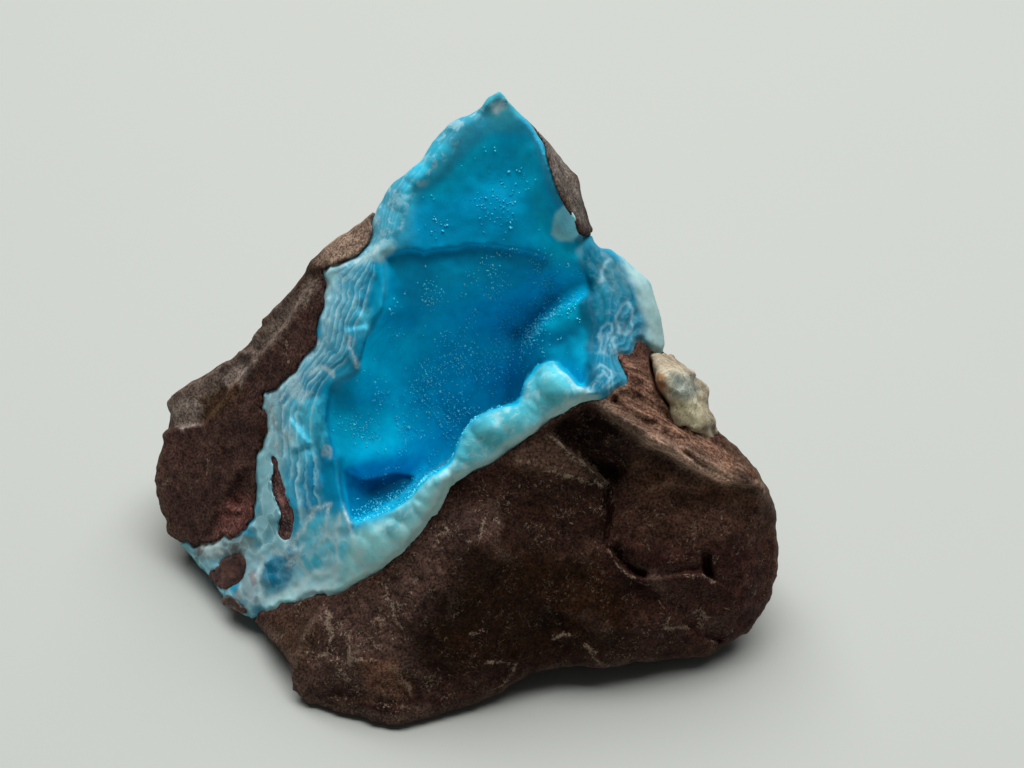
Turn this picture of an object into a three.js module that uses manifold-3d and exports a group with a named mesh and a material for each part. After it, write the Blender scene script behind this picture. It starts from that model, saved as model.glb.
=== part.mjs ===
// Hemimorphite specimen: a broken chunk of dark ironstone round an open vug that is lined with
// blue hemimorphite. Millimetres, +Z up. The origin is at the centre of the footprint, on the
// level facet that the stone rests on, and +X runs along its length.
import * as THREE from 'three';
import { ConvexGeometry } from 'three/addons/geometries/ConvexGeometry.js';
import { mergeVertices } from 'three/addons/utils/BufferGeometryUtils.js';
import Module from 'manifold-3d';

const wasm = await Module();
wasm.setup();

// ---------------------------------------------------------------- driving dimensions, mm
const JOINT_GAP = 0.3;          // between minerals that touch
const OPENING_TILT = 40;        // degrees: the vug opens toward -Y and up by this much
const OPENING_ORIGIN = [6.83, 0.684, 28.237];     // middle of the opening
const OPENING_TAPER = 210.08;   // outlines narrow toward a point this far in front of the opening
const OPENING_FRONT = -24;      // cutting shapes start this far in front of the opening
const BODY_CENTRE = [1.39, -1.54, 21];       // every point of the chunk's surface is seen from here
const WALL_CELLS = 30;          // cells across the wall surfaces
const FRAGMENT_COVER = 2;       // lining left under the held fragments
const SLIVER_BACK = 3.18;
const OVAL_BACK = 11.28;
const SMALL_BACK = 9.09;

// level facet that the stone rests on
const BASE_FACET = [
  [-6.11, -26.74, 0], [-1.61, -26.34, 0], [3.89, -23.74, 0], [11.39, -17.54, 0], [20.39, -16.04, 0], [27.39, -16.54, 0],
  [32.39, -12.54, 0], [34.39, -5.54, 0], [30.39, 6.46, 0], [22.39, 17.46, 0], [8.39, 25.46, 0], [-7.61, 26.96, 0],
  [-20.61, 24.46, 0], [-30.61, 18.46, 0], [-35.61, 12.46, 0], [-34.61, 6.96, 0], [-29.61, -0.54, 0], [-22.11, -10.04, 0],
  [-17.11, -19.04, 0], [-15.11, -22.54, 0], [-11.61, -25.04, 0],
];
// lower edge, round the near side and the right end
const LOWER_EDGE = [
  [-24.54, -15.09, 2.6], [-22.28, -19.09, 4], [-19.67, -22.39, 4], [-19.3, -24.36, 1.8], [-17.38, -25.51, 0.8], [-12.27, -27.1, 0.9],
  [-6.16, -28.96, 1], [-2.21, -28.07, 1], [2.69, -26.29, 1.2], [5.17, -25.11, 1.6], [9.08, -23.59, 3.6], [15.16, -22.37, 3.8],
  [22.75, -21.37, 3], [30.56, -19.36, 1.6], [33.26, -17.46, 1.8], [35.83, -16.58, 2.8], [38.26, -14.57, 6.5], [39.07, -12.79, 9],
  [39.18, -9.76, 14], [38.51, -7.85, 17],
];
// lower and outer edge of the left fracture face
const LEFT_EDGE = [
  [-26.58, -13.45, 2.6], [-28.94, -11.13, 2.8], [-31.44, -7.93, 3.2], [-35.18, -3.26, 3.8], [-37.41, -0.79, 4.2], [-37.74, 0.56, 5.2],
  [-39.18, 1.88, 6.6], [-38.95, 2.94, 8.6], [-38.47, 4.63, 11.4], [-37.98, 6.13, 14], [-37.94, 7.05, 15.4],
];
// inner edge of the bevel above the left face
const LEFT_BEVEL_IN = [
  [-35.52, 5.83, 15.98], [-29.03, 4.42, 22.84], [-23.4, 3.28, 28.9], [-22.85, 3.95, 30.53], [-18.27, 3.93, 36.64], [-15.91, 4.4, 40.42],
];
// outer edge of that bevel, up to the fin
const LEFT_BEVEL_OUT = [
  [-37.04, 8.01, 16.6], [-37.19, 8.69, 18.2], [-31.75, 7.69, 23.5], [-25.16, 5.77, 30], [-25.07, 6.58, 30.6], [-19.3, 6.18, 38.2],
  [-18.31, 6.82, 39.5], [-15.09, 7.31, 43.8], [-12.91, 6, 45.3], [-9.06, 6.82, 48.8],
];
// points in the left fracture face
const LEFT_FACE = [
  [-15.54, 2.38, 38.28], [-16.07, 0.44, 35.03], [-19.1, 0.28, 30.75], [-20.57, 0.4, 28.94], [-23.43, 0.8, 25.62], [-22.92, -2.61, 21.85],
  [-24.32, -3.47, 18.86], [-24.64, -6.85, 14.02], [-26.62, -7.33, 10.73], [-32.34, -1.32, 10.91], [-30.82, 1.58, 16.74],
];
// ridge of the near block, where the lining begins
const NEAR_RIDGE = [
  [-24.8, -14.42, 3.3], [-23.16, -14.21, 5.4], [-16.45, -16.34, 9.8], [-13.75, -17.65, 11.2], [-10.15, -17.63, 14.4], [-8.55, -17.97, 15.6],
  [-5.06, -17.46, 19.2], [-2.61, -16, 21.8], [-1.11, -14.27, 23.8], [-0.43, -13.03, 25], [4.19, -12.65, 27], [7.63, -11.49, 29.5],
  [10.47, -10.93, 31.6], [12.39, -10.17, 33.2], [14.77, -9.6, 34.2], [15.21, -9.25, 34.8], [16.78, -9.89, 34.6], [18.28, -8.85, 35.2],
  [20.28, -7.26, 35.2],
];
// crest of the rounded lobes behind that ridge
const LOBE_CREST = [
  [-12.01, -14.83, 20], [-8.84, -15.67, 21.8], [-4.93, -15.76, 24.6], [-2.97, -14.16, 27], [-0.11, -13.49, 28.4], [0.91, -11.69, 30.6],
  [2.84, -9.89, 32.2], [5.69, -9.13, 33.2], [7.63, -8.9, 33.6], [8.31, -6.96, 35.4], [10.03, -5.49, 36.4], [11.75, -5.19, 36.6],
  [12.87, -6.56, 36.4], [14.73, -9.38, 35.8],
];
// inner edge of the broken section on the left
const SECTION_INNER = [
  [-12.72, -13.57, 21.21], [-13.22, -12.07, 22.51], [-14.34, -8.41, 25.79], [-15.09, -5.6, 28.46], [-14.3, -3.66, 32.04], [-10.77, -4.82, 35.26],
  [-9.52, -2.82, 39.54], [-8.17, -2.24, 42.12], [-8.01, 0.25, 43.8], [-8.24, 1.95, 45.8],
];
// top of that section
const SECTION_TOP = [
  [-15.54, 5.61, 42], [-14.78, 4.32, 39.6], [-11.24, 3.33, 44.8], [-9.15, 4.68, 46.8],
];
// left edge of the tall wall
const FIN_LEFT = [
  [-6.84, 2.43, 47], [-5.39, 5.03, 49.2], [-4.94, 6.63, 51], [-0.98, 7.75, 55.4], [2.1, 9.39, 58.6],
];
// outline of the fin over its peak
const FIN_OUTLINE = [
  [-6.99, 8.85, 51.3], [-3.94, 9.55, 53.7], [-2.55, 9.83, 54.6], [-1.27, 11.33, 57], [2.87, 11.18, 59.6], [4.24, 11.76, 61.2],
  [5.48, 11.72, 62], [7.06, 10.81, 60.6], [9.54, 9.61, 58.2],
];
// right edge of the tall wall
const FIN_RIGHT = [
  [10.63, 6.08, 57], [11.88, 4.16, 53.6], [13.85, 3.28, 50],
];
// stone showing behind the fin on the right
const FIN_BACKING = [
  [11.43, 11.75, 55], [12.95, 11.4, 53.6], [14.74, 11.4, 51], [15.25, 10.25, 48], [16.12, 9.05, 45],
];
// outline of the bulge on the right
const RIGHT_BULGE = [
  [16.57, 8.32, 44.8], [20.51, 6.82, 41.4], [22.58, 5.91, 39], [23.78, 3.34, 35.6], [24.63, 1.47, 33],
];
// points on the right broken section
const RIGHT_SECTION = [
  [15.41, 5.42, 45], [15.42, 3.17, 42.2], [16.86, -1.86, 38.2], [18.05, -5.42, 36.2], [19.38, 1.86, 40], [21.74, -0.4, 36.6],
];
// far edge of the right shoulder
const SHOULDER = [
  [25.84, 0.74, 31.6], [28.56, -1.12, 29.6], [29.47, -3.35, 27.6], [30.09, -8.2, 27.8], [32.2, -8.04, 26.4], [34.87, -8.27, 23.6],
  [37.72, -8.32, 19.6],
];
// upper face of the near block
const TOP_FACE = [
  [21.43, -8.55, 33.6], [25.54, -8.62, 31.4], [22.39, -13.15, 31.6], [28.3, -12.36, 28.6], [35.8, -11.62, 22.4],
];
// points on the broken faces of the near block
const NEAR_FACES = [
  [-18.17, -21.57, 7.5], [-12.08, -23.74, 8.2], [-6.15, -23.97, 10.2], [-6.28, -26.38, 4.2], [-0.3, -21.97, 14.8], [-0.42, -25.72, 5.2],
  [5.46, -19.25, 20.2], [5.44, -23.61, 9.8], [14.09, -11.04, 27.4], [17.12, -10.34, 23.6], [18.53, -11.41, 22.2], [18.54, -15.05, 17.6],
  [18.86, -16.94, 16.2], [12.4, -14.78, 20.6], [12.42, -20.29, 13], [17.14, -21.71, 9.4], [23.84, -14.77, 23.8], [30.94, -14.98, 20.8],
  [28.69, -17.52, 16.8], [22.84, -19.38, 15.4], [33.86, -17.01, 11.2], [26.58, -20.5, 9.8], [31.55, -19.73, 7.2],
];
// far side, turned away from the opening
const FAR_SIDE = [
  [6.39, 16.96, 57.5], [-3.61, 16.46, 48], [11.39, 16.46, 46], [-15.61, 16.46, 36], [4.39, 22.46, 34], [18.39, 13.46, 32],
  [-27.61, 17.46, 18.5], [-11.61, 26.96, 18], [7.39, 28.46, 15], [22.39, 19.96, 14.5], [33.39, 5.46, 13], [38.39, -3.54, 9.5],
  [27.39, -0.04, 21], [-37.61, 13.96, 9], [-23.61, 24.46, 10], [35.89, -5.54, 3], [28.39, 12.46, 4], [-7.61, 28.96, 5],
  [-34.61, 16.96, 3],
];
const SURFACE = [
  ...BASE_FACET, ...LOWER_EDGE, ...LEFT_EDGE, ...LEFT_BEVEL_IN, ...LEFT_BEVEL_OUT, ...LEFT_FACE, ...NEAR_RIDGE, ...LOBE_CREST, ...SECTION_INNER, ...SECTION_TOP, ...FIN_LEFT, ...FIN_OUTLINE, ...FIN_RIGHT, ...FIN_BACKING, ...RIGHT_BULGE, ...RIGHT_SECTION, ...SHOULDER, ...TOP_FACE, ...NEAR_FACES, ...FAR_SIDE,
];

// Outlines and depths across the opening: [across, up, depth] in the opening's own frame.
// line where the lining meets the stone, run past the edge where the lining is the outside
const CONTACT_OUTLINE = [
  [-41.42, -18.13], [-38.9, -19.33], [-35.53, -18.85], [-32.65, -18.13], [-30.97, -15.49], [-30.73, -9.72],
  [-29.53, -6.96], [-30.01, -1.92], [-27.49, 0.36], [-26.17, 1.68], [-23.41, 5.16], [-22.93, 9],
  [-22.09, 11.28], [-22.93, 14.05], [-18.85, 15.01], [-16.69, 17.53], [-16.57, 20.53], [-16.33, 23.89],
  [-13.21, 28.33], [-10.32, 32.65], [-6, 35.77], [-1.44, 38.18], [2.64, 34.57], [3.12, 30.49],
  [4.2, 27.37], [5.4, 23.17], [7.2, 20.05], [8.16, 17.53], [9.6, 18.25], [12, 19.45],
  [16.81, 15.85], [19.69, 10.56], [20.65, 5.76], [18.25, 3.84], [16.45, 4.08], [15.25, 5.88],
  [14.41, 3.12], [12.61, 3.6], [13.45, 2.16], [14.17, 0.24], [12.12, -0.84], [11.04, -1.92],
  [8.88, -1.56], [5.88, -3.36], [3.84, -5.16], [0.84, -7.2], [-2.76, -9.96], [-7.56, -11.76],
  [-8.28, -13.57], [-9.84, -16.33], [-12.36, -19.33], [-15.85, -22.33], [-17.41, -22.93], [-20.89, -25.21],
  [-23.41, -25.21], [-29.53, -26.65], [-30.97, -28.21], [-33.13, -30.73], [-37.7, -27.37], [-42.5, -22.09],
  [-43.94, -18.73],
];
// inner edge of the lining's broken rim
const RIM_OUTLINE = [
  [-19.45, -16.81], [-20.17, -15.01], [-20.65, -12.97], [-21.73, -7.92], [-22.45, -3.96], [-21.73, 0.12],
  [-18.37, 1.92], [-17.17, 6.72], [-15.85, 9.24], [-15.61, 12.24], [-15.85, 15.01], [-14.41, 16.33],
  [-12.85, 19.81], [-12.36, 22.33], [-8.28, 26.89], [-5.04, 30.73], [-3, 32.89], [-1.08, 33.61],
  [1.2, 32.65], [4.32, 30.97], [6.48, 28.09], [7.44, 23.89], [9.36, 20.41], [8.64, 17.29],
  [8.16, 15.37], [8.88, 12.73], [9.84, 10.08], [10.44, 6.24], [9.6, 4.08], [8.88, 1.68],
  [8.4, -0.48], [6.36, 1.68], [5.16, 2.76], [3.36, 2.4], [1.56, 0.6], [0.84, -2.16],
  [-1.2, -2.64], [-4.2, -3.96], [-6.24, -6.48], [-7.32, -9.48], [-10.32, -11.04], [-12.36, -14.05],
  [-16.33, -16.09],
];
// depth of the vug's wall
const WALL_POINTS = [
  [-20.17, -15.01, -6.36], [-20.65, -12.97, -6.04], [-21.73, -7.92, -5.33], [-22.45, -3.96, -5.01], [-21.73, 0.12, -5.83], [-18.37, 1.92, -8.61],
  [-17.17, 6.72, -9.86], [-15.85, 9.24, -10.94], [-15.61, 12.24, -10.68], [-15.85, 15.01, -10.2], [-14.41, 16.33, -10.58], [-12.85, 19.81, -10.47],
  [-12.36, 22.33, -10.06], [-8.28, 26.89, -11.92], [-5.04, 30.73, -12.73], [-3, 32.89, -12.88], [-0.84, 33.13, -12.84], [3.12, 30.01, -12.77],
  [4.32, 26.89, -13.45], [5.52, 23.05, -12.83], [7.44, 19.69, -11.61], [8.64, 17.29, -7.17], [8.52, 15.37, -7.52], [9.36, 12.73, -6.05],
  [10.2, 10.08, -6.81], [10.8, 6.24, -7.89], [9.96, 4.08, -8.91], [9.24, 1.68, -10.27], [-9.84, 23.29, -9.9], [-5.04, 26.29, -11],
  [-1.44, 29.29, -11.8], [2.16, 25.69, -10.4], [3.96, 21.49, -9.2], [6, 19.45, -8.2], [0.96, 20.29, -9.6], [-5.04, 20.29, -9.9],
  [-9.84, 19.09, -9.6], [-7.44, 16.93, -9.3], [-1.44, 17.29, -9], [3.36, 16.69, -8], [6.36, 16.09, -7.4], [-12.85, 14.17, -8.9],
  [-9.84, 13.93, -8.5], [-6.84, 14.17, -8.3], [-3.24, 14.89, -8], [0.36, 14.17, -7.2], [3.96, 13.45, -6], [7.2, 13.45, -6.2],
  [-13.69, 11.04, -7.8], [-13.45, 6.48, -4.6], [-16.45, 2.88, -5], [-19.45, -2.52, -3.6], [-16.45, -1.92, -1.8], [-13.45, 1.68, -1.4],
  [-20.05, -6.72, -4.2], [-17.65, -6.72, -2.2], [-19.69, -10.08, -4.1], [-18.01, -10.08, -2.6], [-9.84, 10.08, -6], [-6.84, 10.08, -5.4],
  [-3.84, 10.08, -4.4], [-0.24, 10.08, -3.2], [2.76, 11.04, -3.2], [-9.84, 4.68, -2], [-6.24, 4.08, -0.4], [-2.64, 4.08, 1],
  [-0.48, 4.68, 1.8], [-11.04, -1.32, 1.4], [-7.44, -1.92, 3.4], [-3.84, -1.32, 4.2], [-0.84, -0.12, 4.8], [-13.45, -5.52, 1.2],
  [-9.84, -6.72, 4], [-13.45, -9.36, 1.2], [-15.25, -9.84, -0.4], [-19.21, -12.48, -2], [-16.81, -13.09, 2.4], [-14.05, -12.12, 4],
  [-12.48, -11.52, 4.4], [-18.01, -14.65, -2], [-18.73, -15.97, -5.2], [-15.25, -15.01, -2.4], [-12.24, -13.21, 0.4], [-9.84, -11.76, 3.8],
  [-6.24, -8.52, 5.8], [-2.64, -4.92, 6.2], [0.96, -2.52, 5], [3.36, 0.48, 1], [2.16, 4.68, -0.8], [3.72, 6.72, -4],
  [6, 8.4, -5.8], [8.76, 9.72, -7.4], [5.16, 4.68, -4.4], [7.56, 5.28, -6.6], [6.72, 2.64, -6.4], [4.32, 3.36, -3.8],
  [9.12, 4.68, -8], [0.72, 6.24, 2.2], [2.4, 8.76, 0.2], [4.8, 10.56, -2.2], [7.68, 12, -4.8],
];
// depth of the stone under the lining
const CONTACT_POINTS = [
  [-41.42, -18.13, 19.89], [-36.61, -22.93, 15.03], [-33.25, -25.93, 11.88], [-31.45, -21.13, 10.02], [-30.01, -13.93, 8.05], [-30.01, -6.72, 7.63],
  [-29.05, -1.92, 6.52], [-25.45, 1.68, 3.07], [-22.81, 6.48, 0.51], [-22.33, 11.88, -0.07], [-19.45, 14.65, -2.46], [-25.45, -18.73, 4.8],
  [-25.45, -24.73, 5.92], [-19.45, -23.53, 1.67], [-23.05, -10.32, 1.56], [-25.45, -5.52, 3.46], [-16.57, 20.29, -3.86], [-14.17, 23.53, -4.29],
  [-9.84, 27.13, -5.89], [-4.2, 32.41, -8.4], [-1.44, 34.33, -9.56], [2.64, 30.01, -9.74], [4.08, 26.89, -9.85], [5.4, 23.05, -8.82],
  [7.44, 19.45, -6.86], [9.36, 17.29, -0.35], [13.57, 13.93, 2.74], [15.61, 11.28, 3.7], [16.81, 7.2, 3.92], [15.97, 4.68, -0.29],
  [13.57, 2.88, -3.75], [12, -0.12, -6.74], [10.56, -1.68, -7.85], [-20.17, -15.01, 0.64], [-20.65, -12.97, 0.96], [-21.73, -7.92, 1.67],
  [-22.45, -3.96, 1.99], [-21.73, 0.12, 1.17], [-18.37, 1.92, -1.61], [-17.17, 6.72, -2.86], [-15.85, 9.24, -3.94], [-15.61, 12.24, -3.68],
  [-15.85, 15.01, -3.2], [-14.41, 16.33, -4.38], [-12.85, 19.81, -5.47], [-12.36, 22.33, -5.06], [-8.28, 26.89, -6.92], [-5.04, 30.73, -7.73],
  [-3, 32.89, -7.88], [-0.84, 33.13, -7.84], [3.12, 30.01, -7.77], [4.32, 26.89, -8.45], [5.52, 23.05, -7.83], [7.44, 19.69, -6.61],
  [8.64, 17.29, -2.17], [8.52, 15.37, -1.32], [-9.84, 23.29, -4.9], [-5.04, 26.29, -6], [-1.44, 29.29, -6.8], [2.16, 25.69, -5.4],
  [3.96, 21.49, -4.2], [6, 19.45, -3.2], [0.96, 20.29, -4.6], [-5.04, 20.29, -4.9], [-9.84, 19.09, -4.6], [-7.44, 16.93, -4.3],
  [-1.44, 17.29, -4], [3.36, 16.69, -1.8], [6.36, 16.09, -1.2], [-12.85, 14.17, -2.7], [-9.84, 13.93, -2.3], [-6.84, 14.17, -2.1],
  [-3.24, 14.89, -1.8], [0.36, 14.17, -1], [3.96, 13.45, 0.2], [7.2, 13.45, 0], [-13.69, 11.04, -1.6], [-13.45, 6.48, 1.6],
  [-16.45, 2.88, 2], [-19.45, -2.52, 3.4], [-16.45, -1.92, 4.4], [-13.45, 1.68, 4.8], [-20.05, -6.72, 2.8], [-17.65, -6.72, 4],
  [-19.69, -10.08, 2.9], [-18.01, -10.08, 4.4], [-9.84, 10.08, 0.2], [-6.84, 10.08, 0.8], [-3.84, 10.08, 1.8], [-0.24, 10.08, 3],
  [2.76, 11.04, 3], [-9.84, 4.68, 4.2], [-6.24, 4.08, 5.8], [-2.64, 4.08, 7.2], [-0.48, 4.68, 8], [-11.04, -1.32, 7.6],
  [-7.44, -1.92, 9.6], [-3.84, -1.32, 10.4], [-0.84, -0.12, 11], [-13.45, -5.52, 7.4], [-9.84, -6.72, 10.2], [-13.45, -9.36, 7.4],
  [-15.25, -9.84, 5.8], [-19.21, -12.48, 4.2], [-16.81, -13.09, 8.6], [-14.05, -12.12, 10.2], [-12.48, -11.52, 10.6], [-18.01, -14.65, 4.2],
  [-18.73, -15.97, 1.8], [-15.25, -15.01, 3.8], [-12.24, -13.21, 6.6], [-9.84, -11.76, 10], [-6.24, -8.52, 12], [-2.64, -4.92, 12.4],
  [0.96, -2.52, 11.2], [3.36, 0.48, 7.2], [2.16, 4.68, 5.4], [3.72, 6.72, 2.2], [6, 8.4, 0.4], [5.16, 4.68, 1.8],
  [7.56, 5.28, -0.4], [6.72, 2.64, -0.2], [4.32, 3.36, 2.4], [0.72, 6.24, 8.4], [2.4, 8.76, 6.4], [4.8, 10.56, 4],
  [7.68, 12, 1.4], [8.88, -1.44, -5.35], [5.88, -3.36, -5.08], [2.16, -6.24, -4.1], [-2.76, -9.72, -3.04], [-7.56, -11.52, -2.52],
  [-9.84, -16.09, -2.24], [-12.36, -19.09, -1.79], [-15.85, -22.09, 0.12], [-20.89, -24.97, 3.2],
];
// stone fragments held in the lining
const SLIVER_OUTLINE = [
  [-28.33, -8.16], [-27.73, -8.64], [-27.25, -11.52], [-26.53, -13.93], [-26.05, -16.33], [-26.17, -18.37],
  [-26.89, -18.85], [-27.61, -18.37], [-27.73, -16.33], [-28.21, -12.73], [-28.57, -9.72],
];
const OVAL_OUTLINE = [
  [-36.47, -22.51], [-35.31, -22.08], [-34.73, -21.06], [-33.28, -20.32], [-31.96, -20.47], [-31.88, -22.08],
  [-32.4, -23.67], [-33.28, -24.26], [-34.73, -24.62], [-35.89, -23.96],
];
const SMALL_OUTLINE = [
  [-35.09, -26.22], [-34.73, -25.55], [-33.28, -25.57], [-32.69, -26.29], [-31.81, -27.01], [-31.81, -27.61],
  [-32.69, -27.31], [-34.14, -26.73],
];
// corners of the pale lump on the right shoulder
const LUMP_POINTS = [
  [22.76, -1.88, 35.4], [24.56, -0.4, 34.2], [26.21, 0.08, 32.6], [29.07, -1.4, 30.6], [29.74, -3.16, 29], [29.82, -4.79, 27.6],
  [30.33, -7.48, 27], [28.38, -8.58, 28.6], [26.26, -8.93, 30.6], [24.75, -7.79, 32.2], [23.35, -6.84, 33.8], [22.72, -4.87, 35],
  [24.57, -7.04, 36.2], [26.46, -7.84, 34.2], [27.7, -8.56, 31.8], [24.15, 2.7, 30], [26.3, 3.83, 27.5], [28.59, 3.02, 25],
  [29.75, 1.02, 23.5], [28.26, -1.61, 24.5], [25.93, -1.41, 27.5],
];

// ---------------------------------------------------------------- frames and helpers
const tilt = THREE.MathUtils.degToRad(OPENING_TILT);
const ACROSS = new THREE.Vector3(1, 0, 0);
const UP = new THREE.Vector3(0, Math.sin(tilt), Math.cos(tilt));
const INTO = new THREE.Vector3(0, Math.cos(tilt), -Math.sin(tilt));
const MIDDLE = new THREE.Vector3(...OPENING_ORIGIN);

function place(a, b, depth, out = new THREE.Vector3()) {
  const k = 1 + depth / OPENING_TAPER;
  return out.copy(MIDDLE).addScaledVector(ACROSS, a * k).addScaledVector(UP, b * k).addScaledVector(INTO, depth);
}

// smooth surface through scattered [a, b, depth] points (thin plate)
function thinPlate(points, stiff = 1e-3) {
  const n = points.length;
  const m = n + 3;
  const A = Array.from({ length: m }, () => new Float64Array(m + 1));
  const kernel = (dx, dy) => { const r2 = dx * dx + dy * dy; return r2 > 0 ? 0.5 * r2 * Math.log(r2) : 0; };
  for (let i = 0; i < n; i++) {
    for (let j = 0; j < n; j++) A[i][j] = kernel(points[i][0] - points[j][0], points[i][1] - points[j][1]);
    A[i][i] += stiff * n;
    A[i][n] = A[n][i] = 1;
    A[i][n + 1] = A[n + 1][i] = points[i][0];
    A[i][n + 2] = A[n + 2][i] = points[i][1];
    A[i][m] = points[i][2];
  }
  for (let c = 0; c < m; c++) {
    let p = c;
    for (let r = c + 1; r < m; r++) if (Math.abs(A[r][c]) > Math.abs(A[p][c])) p = r;
    [A[c], A[p]] = [A[p], A[c]];
    for (let r = 0; r < m; r++) {
      if (r === c) continue;
      const f = A[r][c] / A[c][c];
      if (f !== 0) for (let k = c; k <= m; k++) A[r][k] -= f * A[c][k];
    }
  }
  const w = A.map((row, i) => row[m] / row[i]);
  return (a, b) => {
    let z = w[n] + w[n + 1] * a + w[n + 2] * b;
    for (let i = 0; i < n; i++) z += w[i] * kernel(a - points[i][0], b - points[i][1]);
    return z;
  };
}

// outline moved outward by g
function grown(outline, g) {
  const n = outline.length;
  let area = 0;
  for (let i = 0; i < n; i++) {
    const [x0, y0] = outline[i], [x1, y1] = outline[(i + 1) % n];
    area += x0 * y1 - x1 * y0;
  }
  const s = Math.sign(area);
  return outline.map(([x, y], i) => {
    const [xp, yp] = outline[(i + n - 1) % n], [xn, yn] = outline[(i + 1) % n];
    const e1 = new THREE.Vector2(x - xp, y - yp).normalize(), e2 = new THREE.Vector2(xn - x, yn - y).normalize();
    const nx = s * (e1.y + e2.y), ny = -s * (e1.x + e2.x), l = Math.hypot(nx, ny) || 1;
    const c = Math.max(0.6, Math.sqrt((1 + e1.dot(e2)) / 2));
    return [x + (g * nx) / l / c, y + (g * ny) / l / c];
  });
}

function solid(geometry) {
  const g = geometry.clone();
  g.deleteAttribute('normal');
  g.deleteAttribute('uv');
  const merged = mergeVertices(g, 1e-4);
  const index = merged.index.array, tri = [];
  for (let i = 0; i < index.length; i += 3) {
    const [a, b, c] = [index[i], index[i + 1], index[i + 2]];
    if (a !== b && b !== c && c !== a) tri.push(a, b, c);
  }
  return new wasm.Manifold(new wasm.Mesh({
    numProp: 3,
    vertProperties: new Float32Array(merged.attributes.position.array),
    triVerts: new Uint32Array(tri),
  }));
}

// closed chunk whose surface passes through the points, all seen from one centre
function chunk(points, centre) {
  const c = new THREE.Vector3(...centre);
  const at = points.map((p) => new THREE.Vector3(...p));
  const rays = at.map((p) => p.clone().sub(c).normalize());
  const hull = new ConvexGeometry(rays);
  const pos = hull.attributes.position;
  const v = new THREE.Vector3();
  for (let i = 0; i < pos.count; i++) {
    v.fromBufferAttribute(pos, i);
    let best = 0, d = Infinity;
    for (let j = 0; j < rays.length; j++) {
      const e = rays[j].distanceToSquared(v);
      if (e < d) { d = e; best = j; }
    }
    pos.setXYZ(i, at[best].x, at[best].y, at[best].z);
  }
  return hull;
}

// straight-sided shape along the opening axis
function prism(outline, front, back) {
  const shape = new THREE.Shape(outline.map(([x, y]) => new THREE.Vector2(x, y)));
  const g = new THREE.ExtrudeGeometry(shape, { depth: 1, bevelEnabled: false, steps: 1 });
  const pos = g.attributes.position, v = new THREE.Vector3();
  for (let i = 0; i < pos.count; i++) {
    place(pos.getX(i), pos.getY(i), pos.getZ(i) > 0.5 ? front : back, v);
    pos.setXYZ(i, v.x, v.y, v.z);
  }
  return g;
}

// everything in front of a surface of varying depth
function inFrontOf(depthAt, outline, cells, margin = 1.5) {
  const xs = outline.map((p) => p[0]), ys = outline.map((p) => p[1]);
  const x0 = Math.min(...xs) - margin, x1 = Math.max(...xs) + margin;
  const y0 = Math.min(...ys) - margin, y1 = Math.max(...ys) + margin;
  const ny = Math.round((cells * (y1 - y0)) / (x1 - x0));
  const g = new THREE.BoxGeometry(1, 1, 1, cells, ny, 1);
  const pos = g.attributes.position, v = new THREE.Vector3();
  for (let i = 0; i < pos.count; i++) {
    const a = x0 + (pos.getX(i) + 0.5) * (x1 - x0), b = y0 + (pos.getY(i) + 0.5) * (y1 - y0);
    place(a, b, pos.getZ(i) > 0 ? OPENING_FRONT : depthAt(a, b), v);
    pos.setXYZ(i, v.x, v.y, v.z);
  }
  return g;
}

function largest(m) {
  return m.decompose().sort((p, q) => q.volume() - p.volume())[0];
}

function scaledAbout(m, grow) {
  const b = m.boundingBox();
  const c = [0, 1, 2].map((i) => (b.min[i] + b.max[i]) / 2);
  const k = [0, 1, 2].map((i) => 1 + (2 * grow) / (b.max[i] - b.min[i]));
  return m.translate(c.map((x) => -x)).scale(k).translate(c);
}

// ---------------------------------------------------------------- solids
const body = solid(chunk(SURFACE, BODY_CENTRE));
const wallDepth = thinPlate(WALL_POINTS);
const contactDepth = thinPlate(CONTACT_POINTS);
const vug = solid(prism(RIM_OUTLINE, OPENING_FRONT + 1, 60))
  .intersect(solid(inFrontOf(wallDepth, RIM_OUTLINE, WALL_CELLS)));
const bed = (g) => solid(prism(grown(CONTACT_OUTLINE, g), OPENING_FRONT + 1, 60))
  .intersect(solid(inFrontOf((a, b) => contactDepth(a, b) + g, CONTACT_OUTLINE, WALL_CELLS)));
const lump = solid(new ConvexGeometry(LUMP_POINTS.map((p) => new THREE.Vector3(...p))));
const lumpRoom = scaledAbout(lump, JOINT_GAP * 1.4);

const fragmentFloor = (g) => solid(inFrontOf((a, b) => contactDepth(a, b) - FRAGMENT_COVER + g, CONTACT_OUTLINE, WALL_CELLS));
const fragment = (outline, back) => solid(prism(outline, OPENING_FRONT + 1, back)).intersect(fragmentFloor(0)).intersect(body);
const fragmentRoom = (outline, back) => solid(prism(grown(outline, JOINT_GAP), OPENING_FRONT + 1, back + JOINT_GAP)).intersect(fragmentFloor(JOINT_GAP));
const sliver = largest(fragment(SLIVER_OUTLINE, SLIVER_BACK));
const oval = largest(fragment(OVAL_OUTLINE, OVAL_BACK));
const small = largest(fragment(SMALL_OUTLINE, SMALL_BACK));

const crust = largest(body.intersect(bed(0)).subtract(vug).subtract(lumpRoom)
  .subtract(fragmentRoom(SLIVER_OUTLINE, SLIVER_BACK))
  .subtract(fragmentRoom(OVAL_OUTLINE, OVAL_BACK))
  .subtract(fragmentRoom(SMALL_OUTLINE, SMALL_BACK)));
const rock = largest(body.subtract(bed(JOINT_GAP)).subtract(lumpRoom));

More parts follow.
